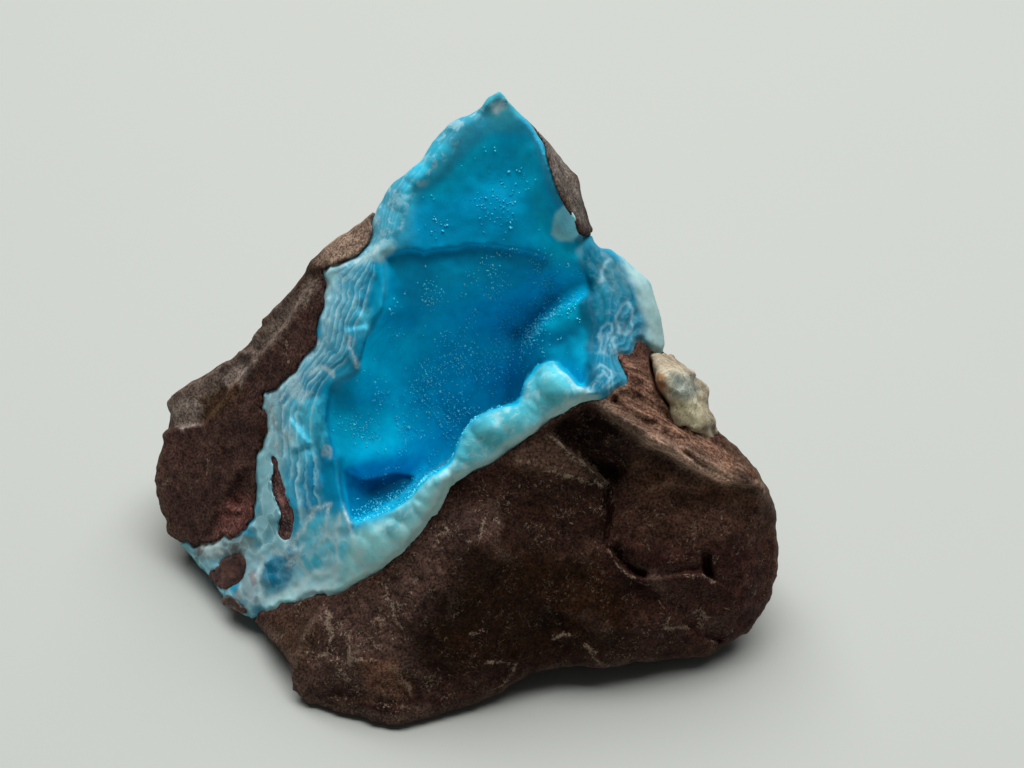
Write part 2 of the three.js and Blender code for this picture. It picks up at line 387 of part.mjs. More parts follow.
// ---------------------------------------------------------------- meshes
function mesh(name, m, color, roughness, metalness = 0) {
  const src = m.getMesh();
  const g = new THREE.BufferGeometry();
  g.setAttribute('position', new THREE.BufferAttribute(new Float32Array(src.vertProperties), 3));
  g.setIndex(new THREE.BufferAttribute(new Uint32Array(src.triVerts), 1));
  g.computeVertexNormals();
  const out = new THREE.Mesh(g, new THREE.MeshStandardMaterial({ color, roughness, metalness }));
  out.name = name;
  return out;
}

const specimen = new THREE.Group();
specimen.name = 'specimen';
specimen.add(mesh('host_rock', rock, 0x3a2a24, 0.8));
specimen.add(mesh('hemimorphite_crust', crust, 0x0f86a6, 0.35));
specimen.add(mesh('clast_sliver', sliver, 0x4a2c26, 0.8));
specimen.add(mesh('clast_oval', oval, 0x3a2622, 0.8));
specimen.add(mesh('clast_small', small, 0x5a4434, 0.8));
specimen.add(mesh('pale_crust', lump, 0x9a9a86, 0.5));

export default specimen;
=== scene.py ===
import math, time
import bpy
import numpy as np
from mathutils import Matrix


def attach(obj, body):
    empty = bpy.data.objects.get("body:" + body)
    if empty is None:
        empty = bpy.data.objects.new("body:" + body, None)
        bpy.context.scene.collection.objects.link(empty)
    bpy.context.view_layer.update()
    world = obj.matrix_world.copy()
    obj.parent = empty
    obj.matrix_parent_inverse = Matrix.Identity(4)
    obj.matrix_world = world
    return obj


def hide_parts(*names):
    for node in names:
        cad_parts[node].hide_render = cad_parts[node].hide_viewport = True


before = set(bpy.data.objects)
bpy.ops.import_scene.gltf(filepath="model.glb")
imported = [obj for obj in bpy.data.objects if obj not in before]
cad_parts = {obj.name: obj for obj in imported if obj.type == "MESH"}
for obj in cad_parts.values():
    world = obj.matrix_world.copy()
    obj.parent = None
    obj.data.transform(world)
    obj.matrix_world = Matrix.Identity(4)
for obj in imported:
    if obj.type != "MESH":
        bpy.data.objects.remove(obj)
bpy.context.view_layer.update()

import openvdb as vdb
from mathutils import Matrix, Vector

# The specimen's looks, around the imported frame. Lengths here are millimetres until mesh_piece()
# turns them into metres. Outlines are [across, up] in the frame of the vug's opening, and depths
# run into the stone, the same numbers as the CAD part.
MM = 0.001

TILT = math.radians(40.0)
RIGHT = np.array([1.0, 0.0, 0.0])
UP = np.array([0.0, math.sin(TILT), math.cos(TILT)])
INTO = np.array([0.0, math.cos(TILT), -math.sin(TILT)])
MIDDLE = np.array([6.83, 0.684, 28.237])
TAPER = 210.08

SURFACE = np.array([
    [-6.11, -26.74, 0], [-1.61, -26.34, 0], [3.89, -23.74, 0], [11.39, -17.54, 0], [20.39, -16.04, 0], [27.39, -16.54, 0],
    [32.39, -12.54, 0], [34.39, -5.54, 0], [30.39, 6.46, 0], [22.39, 17.46, 0], [8.39, 25.46, 0], [-7.61, 26.96, 0],
    [-20.61, 24.46, 0], [-30.61, 18.46, 0], [-35.61, 12.46, 0], [-34.61, 6.96, 0], [-29.61, -0.54, 0], [-22.11, -10.04, 0],
    [-17.11, -19.04, 0], [-15.11, -22.54, 0], [-11.61, -25.04, 0], [-24.54, -15.09, 2.6], [-22.28, -19.09, 4], [-19.67, -22.39, 4],
    [-19.3, -24.36, 1.8], [-17.38, -25.51, 0.8], [-12.27, -27.1, 0.9], [-6.16, -28.96, 1], [-2.21, -28.07, 1], [2.69, -26.29, 1.2],
    [5.17, -25.11, 1.6], [9.08, -23.59, 3.6], [15.16, -22.37, 3.8], [22.75, -21.37, 3], [30.56, -19.36, 1.6], [33.26, -17.46, 1.8],
    [36.13, -16.58, 2.8], [38.68, -14.57, 6.5], [39.49, -12.79, 9], [39.6, -9.76, 14], [38.96, -7.85, 17], [-26.58, -13.45, 2.6],
    [-28.94, -11.13, 2.8], [-31.44, -7.93, 3.2], [-35.18, -3.26, 3.8], [-37.41, -0.79, 4.2], [-37.74, 0.56, 5.2], [-39.18, 1.88, 6.6],
    [-39.35, 2.94, 8.6], [-38.87, 4.63, 11.4], [-37.98, 6.13, 14], [-38.34, 7.05, 15.4], [-35.52, 5.83, 15.98], [-29.03, 4.42, 22.84],
    [-23.4, 3.28, 28.9], [-22.85, 3.95, 30.53], [-18.27, 3.93, 36.64], [-15.91, 4.4, 40.42], [-37.64, 8.01, 16.7], [-37.79, 8.69, 18.4],
    [-31.75, 7.69, 23.5], [-25.56, 5.77, 30.35], [-25.47, 6.58, 30.95], [-19.6, 6.18, 38.4], [-18.61, 6.82, 39.7], [-15.09, 7.31, 43.8],
    [-12.91, 6, 45.3], [-9.06, 6.82, 48.8], [-15.54, 2.38, 38.28], [-16.07, 0.44, 35.03], [-19.1, 0.28, 30.75], [-20.57, 0.4, 28.94],
    [-23.43, 0.8, 25.62], [-22.92, -2.61, 21.85], [-24.32, -3.47, 18.86], [-24.64, -6.85, 14.02], [-26.62, -7.33, 10.73], [-32.34, -1.32, 10.91],
    [-30.82, 1.58, 16.74], [-24.8, -14.42, 3.3], [-23.16, -14.21, 5.4], [-16.45, -16.34, 9.8], [-13.75, -17.65, 11.2], [-10.15, -17.63, 14.4],
    [-8.55, -17.97, 15.6], [-5.06, -17.46, 19.2], [-2.61, -16, 21.8], [-1.11, -14.27, 23.8], [-0.43, -13.03, 25], [4.19, -12.65, 27],
    [7.63, -11.49, 29.5], [10.47, -10.93, 31.6], [12.39, -10.17, 33.2], [14.77, -9.6, 34.2], [15.21, -9.25, 34.8], [16.78, -9.89, 34.6],
    [18.28, -8.85, 35.2], [20.28, -7.26, 35.2], [-12.01, -14.83, 20], [-8.84, -15.67, 21.8], [-4.93, -15.76, 24.6], [-2.97, -14.16, 27],
    [-0.11, -13.49, 28.4], [0.91, -11.69, 30.6], [2.84, -9.89, 32.2], [5.69, -9.13, 33.2], [7.63, -8.9, 33.6], [8.31, -6.96, 35.4],
    [10.03, -5.49, 36.4], [11.75, -5.19, 36.6], [12.87, -6.56, 36.4], [14.73, -9.38, 35.8], [-12.72, -13.57, 21.21], [-13.22, -12.07, 22.51],
    [-14.34, -8.41, 25.79], [-15.09, -5.6, 28.46], [-14.3, -3.66, 32.04], [-10.77, -4.82, 35.26], [-9.52, -2.82, 39.54], [-8.17, -2.24, 42.12],
    [-8.01, 0.25, 43.8], [-8.24, 1.95, 45.8], [-15.54, 5.61, 42], [-14.78, 4.32, 39.6], [-11.24, 3.33, 44.8], [-9.15, 4.68, 46.8],
    [-6.84, 2.43, 47], [-5.39, 5.03, 49.2], [-4.94, 6.63, 51], [-0.98, 7.75, 55.4], [2.1, 9.39, 58.6], [-6.99, 8.85, 51.3],
    [-3.94, 9.55, 53.7], [-2.55, 9.83, 54.6], [-1.27, 11.33, 57], [2.87, 11.18, 59.6], [4.24, 11.76, 61.2], [5.48, 11.72, 62],
    [7.06, 10.81, 60.6], [9.54, 9.61, 58.2], [10.63, 6.08, 57], [11.88, 4.16, 53.6], [13.85, 3.28, 50], [11.43, 11.75, 55],
    [12.95, 11.4, 53.6], [14.74, 11.4, 51], [15.25, 10.25, 48], [16.12, 9.05, 45], [16.57, 8.32, 44.8], [20.51, 6.82, 41.4],
    [22.98, 5.91, 39.15], [24.28, 3.34, 35.75], [25.03, 1.47, 33.1], [15.41, 5.42, 45], [15.42, 3.17, 42.2], [16.86, -1.86, 38.2],
    [18.05, -5.42, 36.2], [19.38, 1.86, 40], [21.74, -0.4, 36.6], [25.84, 0.74, 31.6], [28.56, -1.12, 29.6], [29.47, -3.35, 27.6],
    [30.09, -8.2, 27.8], [32.2, -8.04, 26.4], [35.22, -8.27, 23.8], [38.17, -8.32, 19.7], [21.43, -8.55, 33.6], [25.54, -8.62, 31.4],
    [22.39, -13.15, 31.6], [28.3, -12.36, 28.6], [36.1, -11.62, 22.5], [-18.17, -21.57, 7.5], [-12.08, -23.74, 8.2], [-6.15, -23.97, 10.2],
    [-6.28, -26.38, 4.2], [-0.3, -21.97, 14.8], [-0.42, -25.72, 5.2], [5.46, -19.25, 20.2], [5.44, -23.61, 9.8], [14.09, -11.04, 27.4],
    [17.12, -10.34, 23.6], [18.53, -11.41, 22.2], [18.54, -15.05, 17.6], [18.86, -16.94, 16.2], [12.4, -14.78, 20.6], [12.42, -20.29, 13],
    [17.14, -21.71, 9.4], [24.04, -13.04, 22.15], [30.98, -14.5, 20.4], [28.69, -17.52, 16.8], [22.84, -19.38, 15.4], [34.16, -17.01, 11.2],
    [26.58, -20.5, 9.8], [31.55, -19.73, 7.2], [6.39, 16.96, 57.5], [-3.61, 16.46, 48], [11.39, 16.46, 46], [-15.61, 16.46, 36],
    [4.39, 22.46, 34], [18.39, 13.46, 32], [-27.61, 17.46, 18.5], [-11.61, 26.96, 18], [7.39, 28.46, 15], [22.39, 19.96, 14.5],
    [33.39, 5.46, 13], [38.39, -3.54, 9.5], [27.39, -0.04, 21], [-37.61, 13.96, 9], [-23.61, 24.46, 10], [35.89, -5.54, 3],
    [28.39, 12.46, 4], [-7.61, 28.96, 5], [-34.61, 16.96, 3], [-9.2, -28.05, 0.95],
], float)
CENTRE = np.array([1.39, -1.54, 21])
CONTACT = [
    [-41.42, -18.13], [-38.9, -19.33], [-35.53, -18.85], [-32.65, -18.13], [-30.97, -15.49], [-30.73, -9.72], [-29.53, -6.96], [-30.01, -1.92],
    [-27.49, 0.36], [-26.17, 1.68], [-23.41, 5.16], [-22.93, 9], [-22.09, 11.28], [-22.93, 14.05], [-18.85, 15.01], [-16.69, 17.53],
    [-16.57, 20.53], [-16.33, 23.89], [-13.21, 28.33], [-10.32, 32.65], [-6, 35.77], [-1.44, 38.18], [2.64, 34.57], [3.12, 30.49],
    [4.2, 27.37], [5.4, 23.17], [7.2, 20.05], [8.16, 17.53], [9.6, 18.25], [12, 19.45], [16.81, 15.85], [19.69, 10.56],
    [20.65, 5.76], [18.25, 3.84], [16.45, 4.08], [15.25, 5.88], [14.41, 3.12], [12.61, 3.6], [13.45, 2.16], [14.17, 0.24],
    [12.12, -0.84], [11.04, -1.92], [8.88, -1.56], [5.88, -3.36], [3.84, -5.16], [0.84, -7.2], [-2.76, -9.96], [-7.56, -11.76],
    [-8.28, -13.57], [-9.84, -16.33], [-12.36, -19.33], [-15.85, -22.33], [-17.41, -22.93], [-20.89, -25.5], [-23.41, -25.6], [-29.53, -27.0],
    [-30.97, -28.21], [-33.13, -30.73], [-37.7, -27.37], [-42.5, -22.09], [-43.94, -18.73],
]
RIM = [
    [-19.45, -16.81], [-20.17, -15.01], [-20.65, -12.97], [-21.73, -7.92], [-22.45, -3.96], [-21.73, 0.12], [-18.37, 1.92], [-17.17, 6.72],
    [-15.85, 9.24], [-15.61, 12.24], [-15.85, 15.01], [-14.41, 16.33], [-12.85, 19.81], [-12.36, 22.33], [-8.28, 26.89], [-5.04, 30.73],
    [-3, 32.89], [-1.08, 33.61], [1.2, 32.65], [4.32, 30.97], [6.48, 28.09], [7.44, 23.89], [9.36, 20.41], [8.64, 17.29],
    [8.16, 15.37], [8.88, 12.73], [9.84, 10.08], [10.44, 6.24], [9.6, 4.08], [8.88, 1.68], [8.4, -0.48], [6.36, 1.68],
    [5.16, 2.76], [3.36, 2.4], [1.56, 0.6], [0.84, -2.16], [-1.2, -2.64], [-4.2, -3.96], [-6.24, -6.48], [-7.32, -9.48],
    [-10.32, -11.04], [-12.36, -14.05], [-16.33, -16.09],
]
WALL = [
    [-20.17, -15.01, -6.36], [-20.65, -12.97, -6.04], [-21.73, -7.92, -5.33], [-22.45, -3.96, -5.01], [-21.73, 0.12, -5.83], [-18.37, 1.92, -8.61],
    [-17.17, 6.72, -9.86], [-15.85, 9.24, -10.94], [-15.61, 12.24, -10.68], [-15.85, 15.01, -10.2], [-14.41, 16.33, -10.58], [-12.85, 19.81, -10.47],
    [-12.36, 22.33, -10.06], [-8.28, 26.89, -11.92], [-5.04, 30.73, -12.73], [-3, 32.89, -12.88], [-0.84, 33.13, -12.84], [3.12, 30.01, -12.77],
    [4.32, 26.89, -13.45], [5.52, 23.05, -12.83], [7.44, 19.69, -11.61], [8.64, 17.29, -7.17], [8.52, 15.37, -7.52], [9.36, 12.73, -6.05],
    [10.2, 10.08, -6.81], [10.8, 6.24, -7.89], [9.96, 4.08, -8.91], [9.24, 1.68, -10.27], [-9.84, 23.29, -9.9], [-5.04, 26.29, -11],
    [-1.44, 29.29, -11.8], [2.16, 25.69, -10.4], [3.96, 21.49, -9.2], [6, 19.45, -8.2], [0.96, 20.29, -9.6], [-5.04, 20.29, -9.9],
    [-9.84, 19.09, -9.6], [-7.44, 16.93, -9.3], [-1.44, 17.29, -9], [3.36, 16.69, -8], [6.36, 16.09, -7.4], [-12.85, 14.17, -8.9],
    [-9.84, 13.93, -8.5], [-6.84, 14.17, -8.3], [-3.24, 14.89, -8], [0.36, 14.17, -7.2], [3.96, 13.45, -6], [7.2, 13.45, -6.2],
    [-13.69, 11.04, -7.8], [-13.45, 6.48, -4.6], [-16.45, 2.88, -5], [-19.45, -2.52, -3.6], [-16.45, -1.92, -1.8], [-13.45, 1.68, -1.4],
    [-20.05, -6.72, -4.2], [-17.65, -6.72, -2.2], [-19.69, -10.08, -4.1], [-18.01, -10.08, -2.6], [-9.84, 10.08, -6], [-6.84, 10.08, -5.4],
    [-3.84, 10.08, -4.4], [-0.24, 10.08, -3.2], [2.76, 11.04, -3.2], [-9.84, 4.68, -2], [-6.24, 4.08, -0.4], [-2.64, 4.08, 1],
    [-0.48, 4.68, 1.8], [-11.04, -1.32, 1.4], [-7.44, -1.92, 3.4], [-3.84, -1.32, 4.2], [-0.84, -0.12, 4.8], [-13.45, -5.52, 1.2],
    [-9.84, -6.72, 4], [-13.45, -9.36, 1.2], [-15.25, -9.84, -0.4], [-19.21, -12.48, -2], [-16.81, -13.09, 2.4], [-14.05, -12.12, 4],
    [-12.48, -11.52, 4.4], [-18.01, -14.65, -2], [-18.73, -15.97, -5.2], [-15.25, -15.01, -2.4], [-12.24, -13.21, 0.4], [-9.84, -11.76, 3.8],
    [-6.24, -8.52, 5.8], [-2.64, -4.92, 6.2], [0.96, -2.52, 5], [3.36, 0.48, 1], [2.16, 4.68, -0.8], [3.72, 6.72, -4],
    [6, 8.4, -5.8], [8.76, 9.72, -7.4], [5.16, 4.68, -4.4], [7.56, 5.28, -6.6], [6.72, 2.64, -6.4], [4.32, 3.36, -3.8],
    [9.12, 4.68, -8], [0.72, 6.24, 2.2], [2.4, 8.76, 0.2], [4.8, 10.56, -2.2], [7.68, 12, -4.8],
]
BED = [
    [-41.42, -18.13, 19.89], [-36.61, -22.93, 15.03], [-33.25, -25.93, 11.88], [-31.45, -21.13, 10.02], [-30.01, -13.93, 8.05], [-30.01, -6.72, 7.63],
    [-29.05, -1.92, 6.52], [-25.45, 1.68, 3.07], [-22.81, 6.48, 0.51], [-22.33, 11.88, -0.07], [-19.45, 14.65, -2.46], [-25.45, -18.73, 4.8],
    [-25.45, -24.73, 5.92], [-19.45, -23.53, 1.67], [-23.05, -10.32, 1.56], [-25.45, -5.52, 3.46], [-16.57, 20.29, -3.86], [-14.17, 23.53, -4.29],
    [-9.84, 27.13, -5.89], [-4.2, 32.41, -8.4], [-1.44, 34.33, -9.56], [2.64, 30.01, -9.74], [4.08, 26.89, -9.85], [5.4, 23.05, -8.82],
    [7.44, 19.45, -6.86], [9.36, 17.29, -0.35], [13.57, 13.93, 2.74], [15.61, 11.28, 3.7], [16.81, 7.2, 3.92], [15.97, 4.68, -0.29],
    [13.57, 2.88, -3.75], [12, -0.12, -6.74], [10.56, -1.68, -7.85], [-20.17, -15.01, 0.64], [-20.65, -12.97, 0.96], [-21.73, -7.92, 1.67],
    [-22.45, -3.96, 1.99], [-21.73, 0.12, 1.17], [-18.37, 1.92, -1.61], [-17.17, 6.72, -2.86], [-15.85, 9.24, -3.94], [-15.61, 12.24, -3.68],
    [-15.85, 15.01, -3.2], [-14.41, 16.33, -4.38], [-12.85, 19.81, -5.47], [-12.36, 22.33, -5.06], [-8.28, 26.89, -6.92], [-5.04, 30.73, -7.73],
    [-3, 32.89, -7.88], [-0.84, 33.13, -7.84], [3.12, 30.01, -7.77], [4.32, 26.89, -8.45], [5.52, 23.05, -7.83], [7.44, 19.69, -6.61],
    [8.64, 17.29, -2.17], [8.52, 15.37, -1.32], [-9.84, 23.29, -4.9], [-5.04, 26.29, -6], [-1.44, 29.29, -6.8], [2.16, 25.69, -5.4],
    [3.96, 21.49, -4.2], [6, 19.45, -3.2], [0.96, 20.29, -4.6], [-5.04, 20.29, -4.9], [-9.84, 19.09, -4.6], [-7.44, 16.93, -4.3],
    [-1.44, 17.29, -4], [3.36, 16.69, -1.8], [6.36, 16.09, -1.2], [-12.85, 14.17, -2.7], [-9.84, 13.93, -2.3], [-6.84, 14.17, -2.1],
    [-3.24, 14.89, -1.8], [0.36, 14.17, -1], [3.96, 13.45, 0.2], [7.2, 13.45, 0], [-13.69, 11.04, -1.6], [-13.45, 6.48, 1.6],
    [-16.45, 2.88, 2], [-19.45, -2.52, 3.4], [-16.45, -1.92, 4.4], [-13.45, 1.68, 4.8], [-20.05, -6.72, 2.8], [-17.65, -6.72, 4],
    [-19.69, -10.08, 2.9], [-18.01, -10.08, 4.4], [-9.84, 10.08, 0.2], [-6.84, 10.08, 0.8], [-3.84, 10.08, 1.8], [-0.24, 10.08, 3],
    [2.76, 11.04, 3], [-9.84, 4.68, 4.2], [-6.24, 4.08, 5.8], [-2.64, 4.08, 7.2], [-0.48, 4.68, 8], [-11.04, -1.32, 7.6],
    [-7.44, -1.92, 9.6], [-3.84, -1.32, 10.4], [-0.84, -0.12, 11], [-13.45, -5.52, 7.4], [-9.84, -6.72, 10.2], [-13.45, -9.36, 7.4],
    [-15.25, -9.84, 5.8], [-19.21, -12.48, 4.2], [-16.81, -13.09, 8.6], [-14.05, -12.12, 10.2], [-12.48, -11.52, 10.6], [-18.01, -14.65, 4.2],
    [-18.73, -15.97, 1.8], [-15.25, -15.01, 3.8], [-12.24, -13.21, 6.6], [-9.84, -11.76, 10], [-6.24, -8.52, 12], [-2.64, -4.92, 12.4],
    [0.96, -2.52, 11.2], [3.36, 0.48, 7.2], [2.16, 4.68, 5.4], [3.72, 6.72, 2.2], [6, 8.4, 0.4], [5.16, 4.68, 1.8],
    [7.56, 5.28, -0.4], [6.72, 2.64, -0.2], [4.32, 3.36, 2.4], [0.72, 6.24, 8.4], [2.4, 8.76, 6.4], [4.8, 10.56, 4],
    [7.68, 12, 1.4], [8.88, -1.44, -5.35], [5.88, -3.36, -5.08], [2.16, -6.24, -4.1], [-2.76, -9.72, -3.04], [-7.56, -11.52, -2.52],
    [-9.84, -16.09, -2.24], [-12.36, -19.09, -1.79], [-15.85, -22.09, 0.12], [-20.89, -24.97, 3.2],
]
SLIVER = [
    [-28.85, -8.5], [-28.2, -8.9], [-28.05, -10.4], [-27.5, -11.6], [-26.95, -13.8], [-26.3, -15.4], [-26.15, -17.3], [-26.7, -18.6], [-27.5, -18.85],
    [-28.1, -18.0], [-28.0, -16.5], [-27.75, -15.4], [-28.5, -13.5], [-28.9, -11.8], [-28.65, -10.4],
]
OVAL = [
    [-36.47, -22.51], [-35.31, -22.08], [-34.73, -21.06], [-33.28, -20.32], [-31.96, -20.47], [-31.88, -22.08], [-32.4, -23.67], [-33.28, -24.26],
    [-34.73, -24.62], [-35.89, -23.96],
]
SMALL = [
    [-35.09, -26.22], [-34.73, -25.55], [-33.28, -25.57], [-32.69, -26.29], [-31.81, -27.01], [-31.81, -27.61], [-32.69, -27.31], [-34.14, -26.73],
]
SLIVER_BACK = 3.18
OVAL_BACK = 11.28
SMALL_BACK = 10.4
LUMP = np.array([
    [22.76, -1.88, 35.4], [24.56, -0.4, 34.2], [26.21, 0.08, 32.6], [29.07, -1.4, 30.6], [29.74, -3.16, 29], [29.82, -4.79, 27.6],
    [30.33, -7.48, 27], [28.38, -8.58, 28.6], [26.26, -8.93, 30.6], [24.75, -7.79, 32.2], [23.35, -6.84, 33.8], [22.72, -4.87, 35],
    [24.57, -7.04, 36.2], [26.46, -7.84, 34.2], [27.7, -8.56, 31.8], [24.15, 2.7, 30], [26.3, 3.83, 27.5], [28.59, 3.02, 25],
    [29.75, 1.02, 23.5], [28.26, -1.61, 24.5], [25.93, -1.41, 27.5],
], float)


# ------------------------------------------------------------------ numbers and fields
def place(a, b, d):
    a, b, d = np.broadcast_arrays(np.asarray(a, float), np.asarray(b, float), np.asarray(d, float))
    k = 1 + d / TAPER
    return MIDDLE + (a * k)[..., None] * RIGHT + (b * k)[..., None] * UP + d[..., None] * INTO


def unplace(P):
    q = P - MIDDLE
    d = q @ INTO
    k = 1 + d / TAPER
    return (q @ RIGHT) / k, (q @ UP) / k, d


def smooth01(x, lo, hi):
    t = np.clip((x - lo) / (hi - lo), 0, 1)
    return t * t * (3 - 2 * t)


def lerp(a, b, t):
    return a + (b - a) * t


def chaikin(poly, times=1, keep=0.2):
    p = np.asarray(poly, float)
    for _ in range(times):
        q = np.roll(p, -1, axis=0)
        p = np.stack([p * (1 - keep) + q * keep, p * keep + q * (1 - keep)], 1).reshape(-1, 2)
    return p


def polygon_distance(poly, X, Y):
    """signed distance to a closed outline, negative inside"""
    p = np.asarray(poly, float)
    best = np.full(X.shape, 1e18)
    inside = np.zeros(X.shape, bool)
    for (x0, y0), (x1, y1) in zip(p, np.roll(p, -1, axis=0)):
        ex, ey = x1 - x0, y1 - y0
        wx, wy = X - x0, Y - y0
        t = np.clip((wx * ex + wy * ey) / (ex * ex + ey * ey + 1e-12), 0, 1)
        dx, dy = wx - ex * t, wy - ey * t
        np.minimum(best, dx * dx + dy * dy, out=best)
        cross = ((y0 <= Y) & (y1 > Y)) | ((y1 <= Y) & (y0 > Y))
        if ey != 0:
            inside ^= cross & (wx < ex * wy / ey)
    d = np.sqrt(best)
    return np.where(inside, -d, d)


def line_distance(line, X, Y):
    """distance to an open line, and how far along it (0 to 1)"""
    p = np.asarray(line, float)
    seg = np.hypot(*(p[1:] - p[:-1]).T)
    total, run = seg.sum(), 0.0
    best = np.full(X.shape, 1e18)
    along = np.zeros(X.shape)
    side = np.zeros(X.shape)
    for (x0, y0), (x1, y1), l in zip(p[:-1], p[1:], seg):
        ex, ey = x1 - x0, y1 - y0
        wx, wy = X - x0, Y - y0
        t = np.clip((wx * ex + wy * ey) / (ex * ex + ey * ey + 1e-12), 0, 1)
        dx, dy = wx - ex * t, wy - ey * t
        q = dx * dx + dy * dy
        m = q < best
        best = np.where(m, q, best)
        along = np.where(m, (run + t * l) / total, along)
        side = np.where(m, np.sign(ex * wy - ey * wx), side)
        run += l
    return np.sqrt(best), along, side


def thin_plate(points, stiff=1e-3):
    p = np.asarray(points, float)
    n = len(p)
    def kernel(r2):
        return 0.5 * r2 * np.log(np.maximum(r2, 1e-12))
    r2 = ((p[:, None, :2] - p[None, :, :2]) ** 2).sum(-1)
    A = np.zeros((n + 3, n + 3))
    A[:n, :n] = kernel(r2) + np.eye(n) * stiff * n
    A[:n, n] = A[n, :n] = 1
    A[:n, n + 1:] = p[:, :2]
    A[n + 1:, :n] = p[:, :2].T
    w = np.linalg.solve(A, np.concatenate([p[:, 2], np.zeros(3)]))
    def at(a, b):
        z = w[n] + w[n + 1] * a + w[n + 2] * b
        for (x, y), c in zip(p[:, :2], w[:n]):
            z = z + c * kernel((a - x) ** 2 + (b - y) ** 2)
        return z
    return at


def smax(x, y, k):
    h = np.maximum(k - np.abs(x - y), 0) / k
    return np.maximum(x, y) + h * h * k * 0.25


# 2-D fields over the opening, sampled on a fine grid
A0, B0, CELL = -52.0, -46.0, 0.2
NA, NB = 480, 480
GA, GB = np.meshgrid(A0 + CELL * np.arange(NA), B0 + CELL * np.arange(NB), indexing="ij")


class Sheet:
    """a 2-D field with bilinear lookup"""
    def __init__(self, values):
        self.v = np.asarray(values, np.float32)

    def __call__(self, a, b):
        u = np.clip((a - A0) / CELL, 0, NA - 1.001)
        v = np.clip((b - B0) / CELL, 0, NB - 1.001)
        i, j = u.astype(np.int32), v.astype(np.int32)
        s, t = (u - i).astype(np.float32), (v - j).astype(np.float32)
        f = self.v
        return (f[i, j] * (1 - s) + f[i + 1, j] * s) * (1 - t) + (f[i, j + 1] * (1 - s) + f[i + 1, j + 1] * s) * t


def spline_weights(x, lam, n):
    u = (x + 64.0) / lam + 2
    i = np.floor(u).astype(int)
    t = u - i
    w = [(1 - t) ** 3 / 6, (3 * t ** 3 - 6 * t ** 2 + 4) / 6, (-3 * t ** 3 + 3 * t ** 2 + 3 * t + 1) / 6, t ** 3 / 6]
    lo, hi = i.min() - 1, i.max() + 3
    W = np.zeros((len(x), hi - lo), np.float32)
    for k in range(4):
        W[np.arange(len(x)), i - 1 + k - lo] = w[k]
    return W, lo % n, hi - lo


def lattice(seed, n):
    return np.random.default_rng(seed).standard_normal((n, n, n)).astype(np.float32)


def grid_noise(axes, lam, seed):
    """smooth noise of about unit size on a grid given by its three axes"""
    out = lattice(seed, 64)
    for k in (2, 1, 0):
        W, lo, m = spline_weights(axes[k], lam, 64)
        out = np.take(out, (lo + np.arange(m)) % 64, axis=k)
        out = np.moveaxis(np.tensordot(W, out, axes=(1, k)), 0, k)
    return out / 0.33


def value_noise(P, lam, seed):
    """smooth noise, about -1 to 1, at points"""
    n = 64
    L = lattice(seed, n)
    u = P / lam + 1000.37
    i = np.floor(u).astype(np.int64)
    t = u - i
    t = t * t * t * (t * (t * 6 - 15) + 10)
    i %= n
    j = (i + 1) % n
    x, y, z = t[:, 0], t[:, 1], t[:, 2]
    c = lambda p, q, r: L[p[:, 0], q[:, 1], r[:, 2]]
    a = lerp(lerp(c(i, i, i), c(j, i, i), x), lerp(c(i, j, i), c(j, j, i), x), y)
    b = lerp(lerp(c(i, i, j), c(j, i, j), x), lerp(c(i, j, j), c(j, j, j), x), y)
    return lerp(a, b, z) * 0.75


def fractal(P, lam, seed, octaves=4, gain=0.5):
    s, a, out = 0.0, 1.0, 0.0
    for k in range(octaves):
        out = out + a * value_noise(P, lam / 2 ** k, seed + 17 * k)
        s += a
        a *= gain
    return out / s


def cells(P, lam, seed):
    """distance to the nearest and second nearest of scattered points, and the nearest one's number"""
    u = P / lam + 1000.0
    base = np.floor(u).astype(np.int64)
    n = 61
    J = np.random.default_rng(seed).random((n, n, n, 3)).astype(np.float32)
    f1 = np.full(len(P), 9.0)
    f2 = np.full(len(P), 9.0)
    who = np.zeros(len(P))
    for dx in (-1, 0, 1):
        for dy in (-1, 0, 1):
            for dz in (-1, 0, 1):
                g = base + np.array([dx, dy, dz])
                m = g % n
                q = J[m[:, 0], m[:, 1], m[:, 2]]
                d = np.sqrt((((g + q) - u) ** 2).sum(1))
                near = d < f1
                f2 = np.where(near, f1, np.minimum(f2, d))
                who = np.where(near, q[:, 0] * 7.13 + q[:, 1] * 3.7, who)
                f1 = np.where(near, d, f1)
    return f1 * lam, f2 * lam, who % 1.0


# ------------------------------------------------------------------ the chunk, its bed and the vug
def star(points, centre):
    """triangles of the closed chunk through the points, all seen from one centre"""
    import bmesh
    d = points - centre
    u = d / np.linalg.norm(d, axis=1)[:, None]
    bm = bmesh.new()
    vs = [bm.verts.new(v) for v in u]
    bm.verts.index_update()
    bmesh.ops.convex_hull(bm, input=vs)
    bmesh.ops.triangulate(bm, faces=bm.faces)
    bm.verts.index_update()
    tri = []
    for f in bm.faces:
        a, b, c = [v.index for v in f.verts]
        n = np.cross(u[b] - u[a], u[c] - u[a])
        tri.append((a, b, c) if n @ (u[a] + u[b] + u[c]) > 0 else (a, c, b))
    bm.free()
    return np.array(tri, np.uint32)


SURFACE[SURFACE[:, 2].argmax(), 2] += 0.4
SURFACE_TRI = star(SURFACE, CENTRE)

contact_line = chaikin(CONTACT, 1, 0.22)
rim_line = chaikin(RIM, 1, 0.22)
wall_depth = Sheet(thin_plate(WALL)(GA, GB))
bed_depth = Sheet(thin_plate(BED)(GA, GB))
contact_sd = Sheet(polygon_distance(contact_line, GA, GB))
rim_sd = Sheet(polygon_distance(rim_line, GA, GB))


def slope(sheet):
    gx, gy = np.gradient(sheet.v, CELL)
    return Sheet(1 / np.sqrt(1 + np.minimum(gx * gx + gy * gy, 9.0)))


wall_cos = slope(wall_depth)
bed_cos = slope(bed_depth)


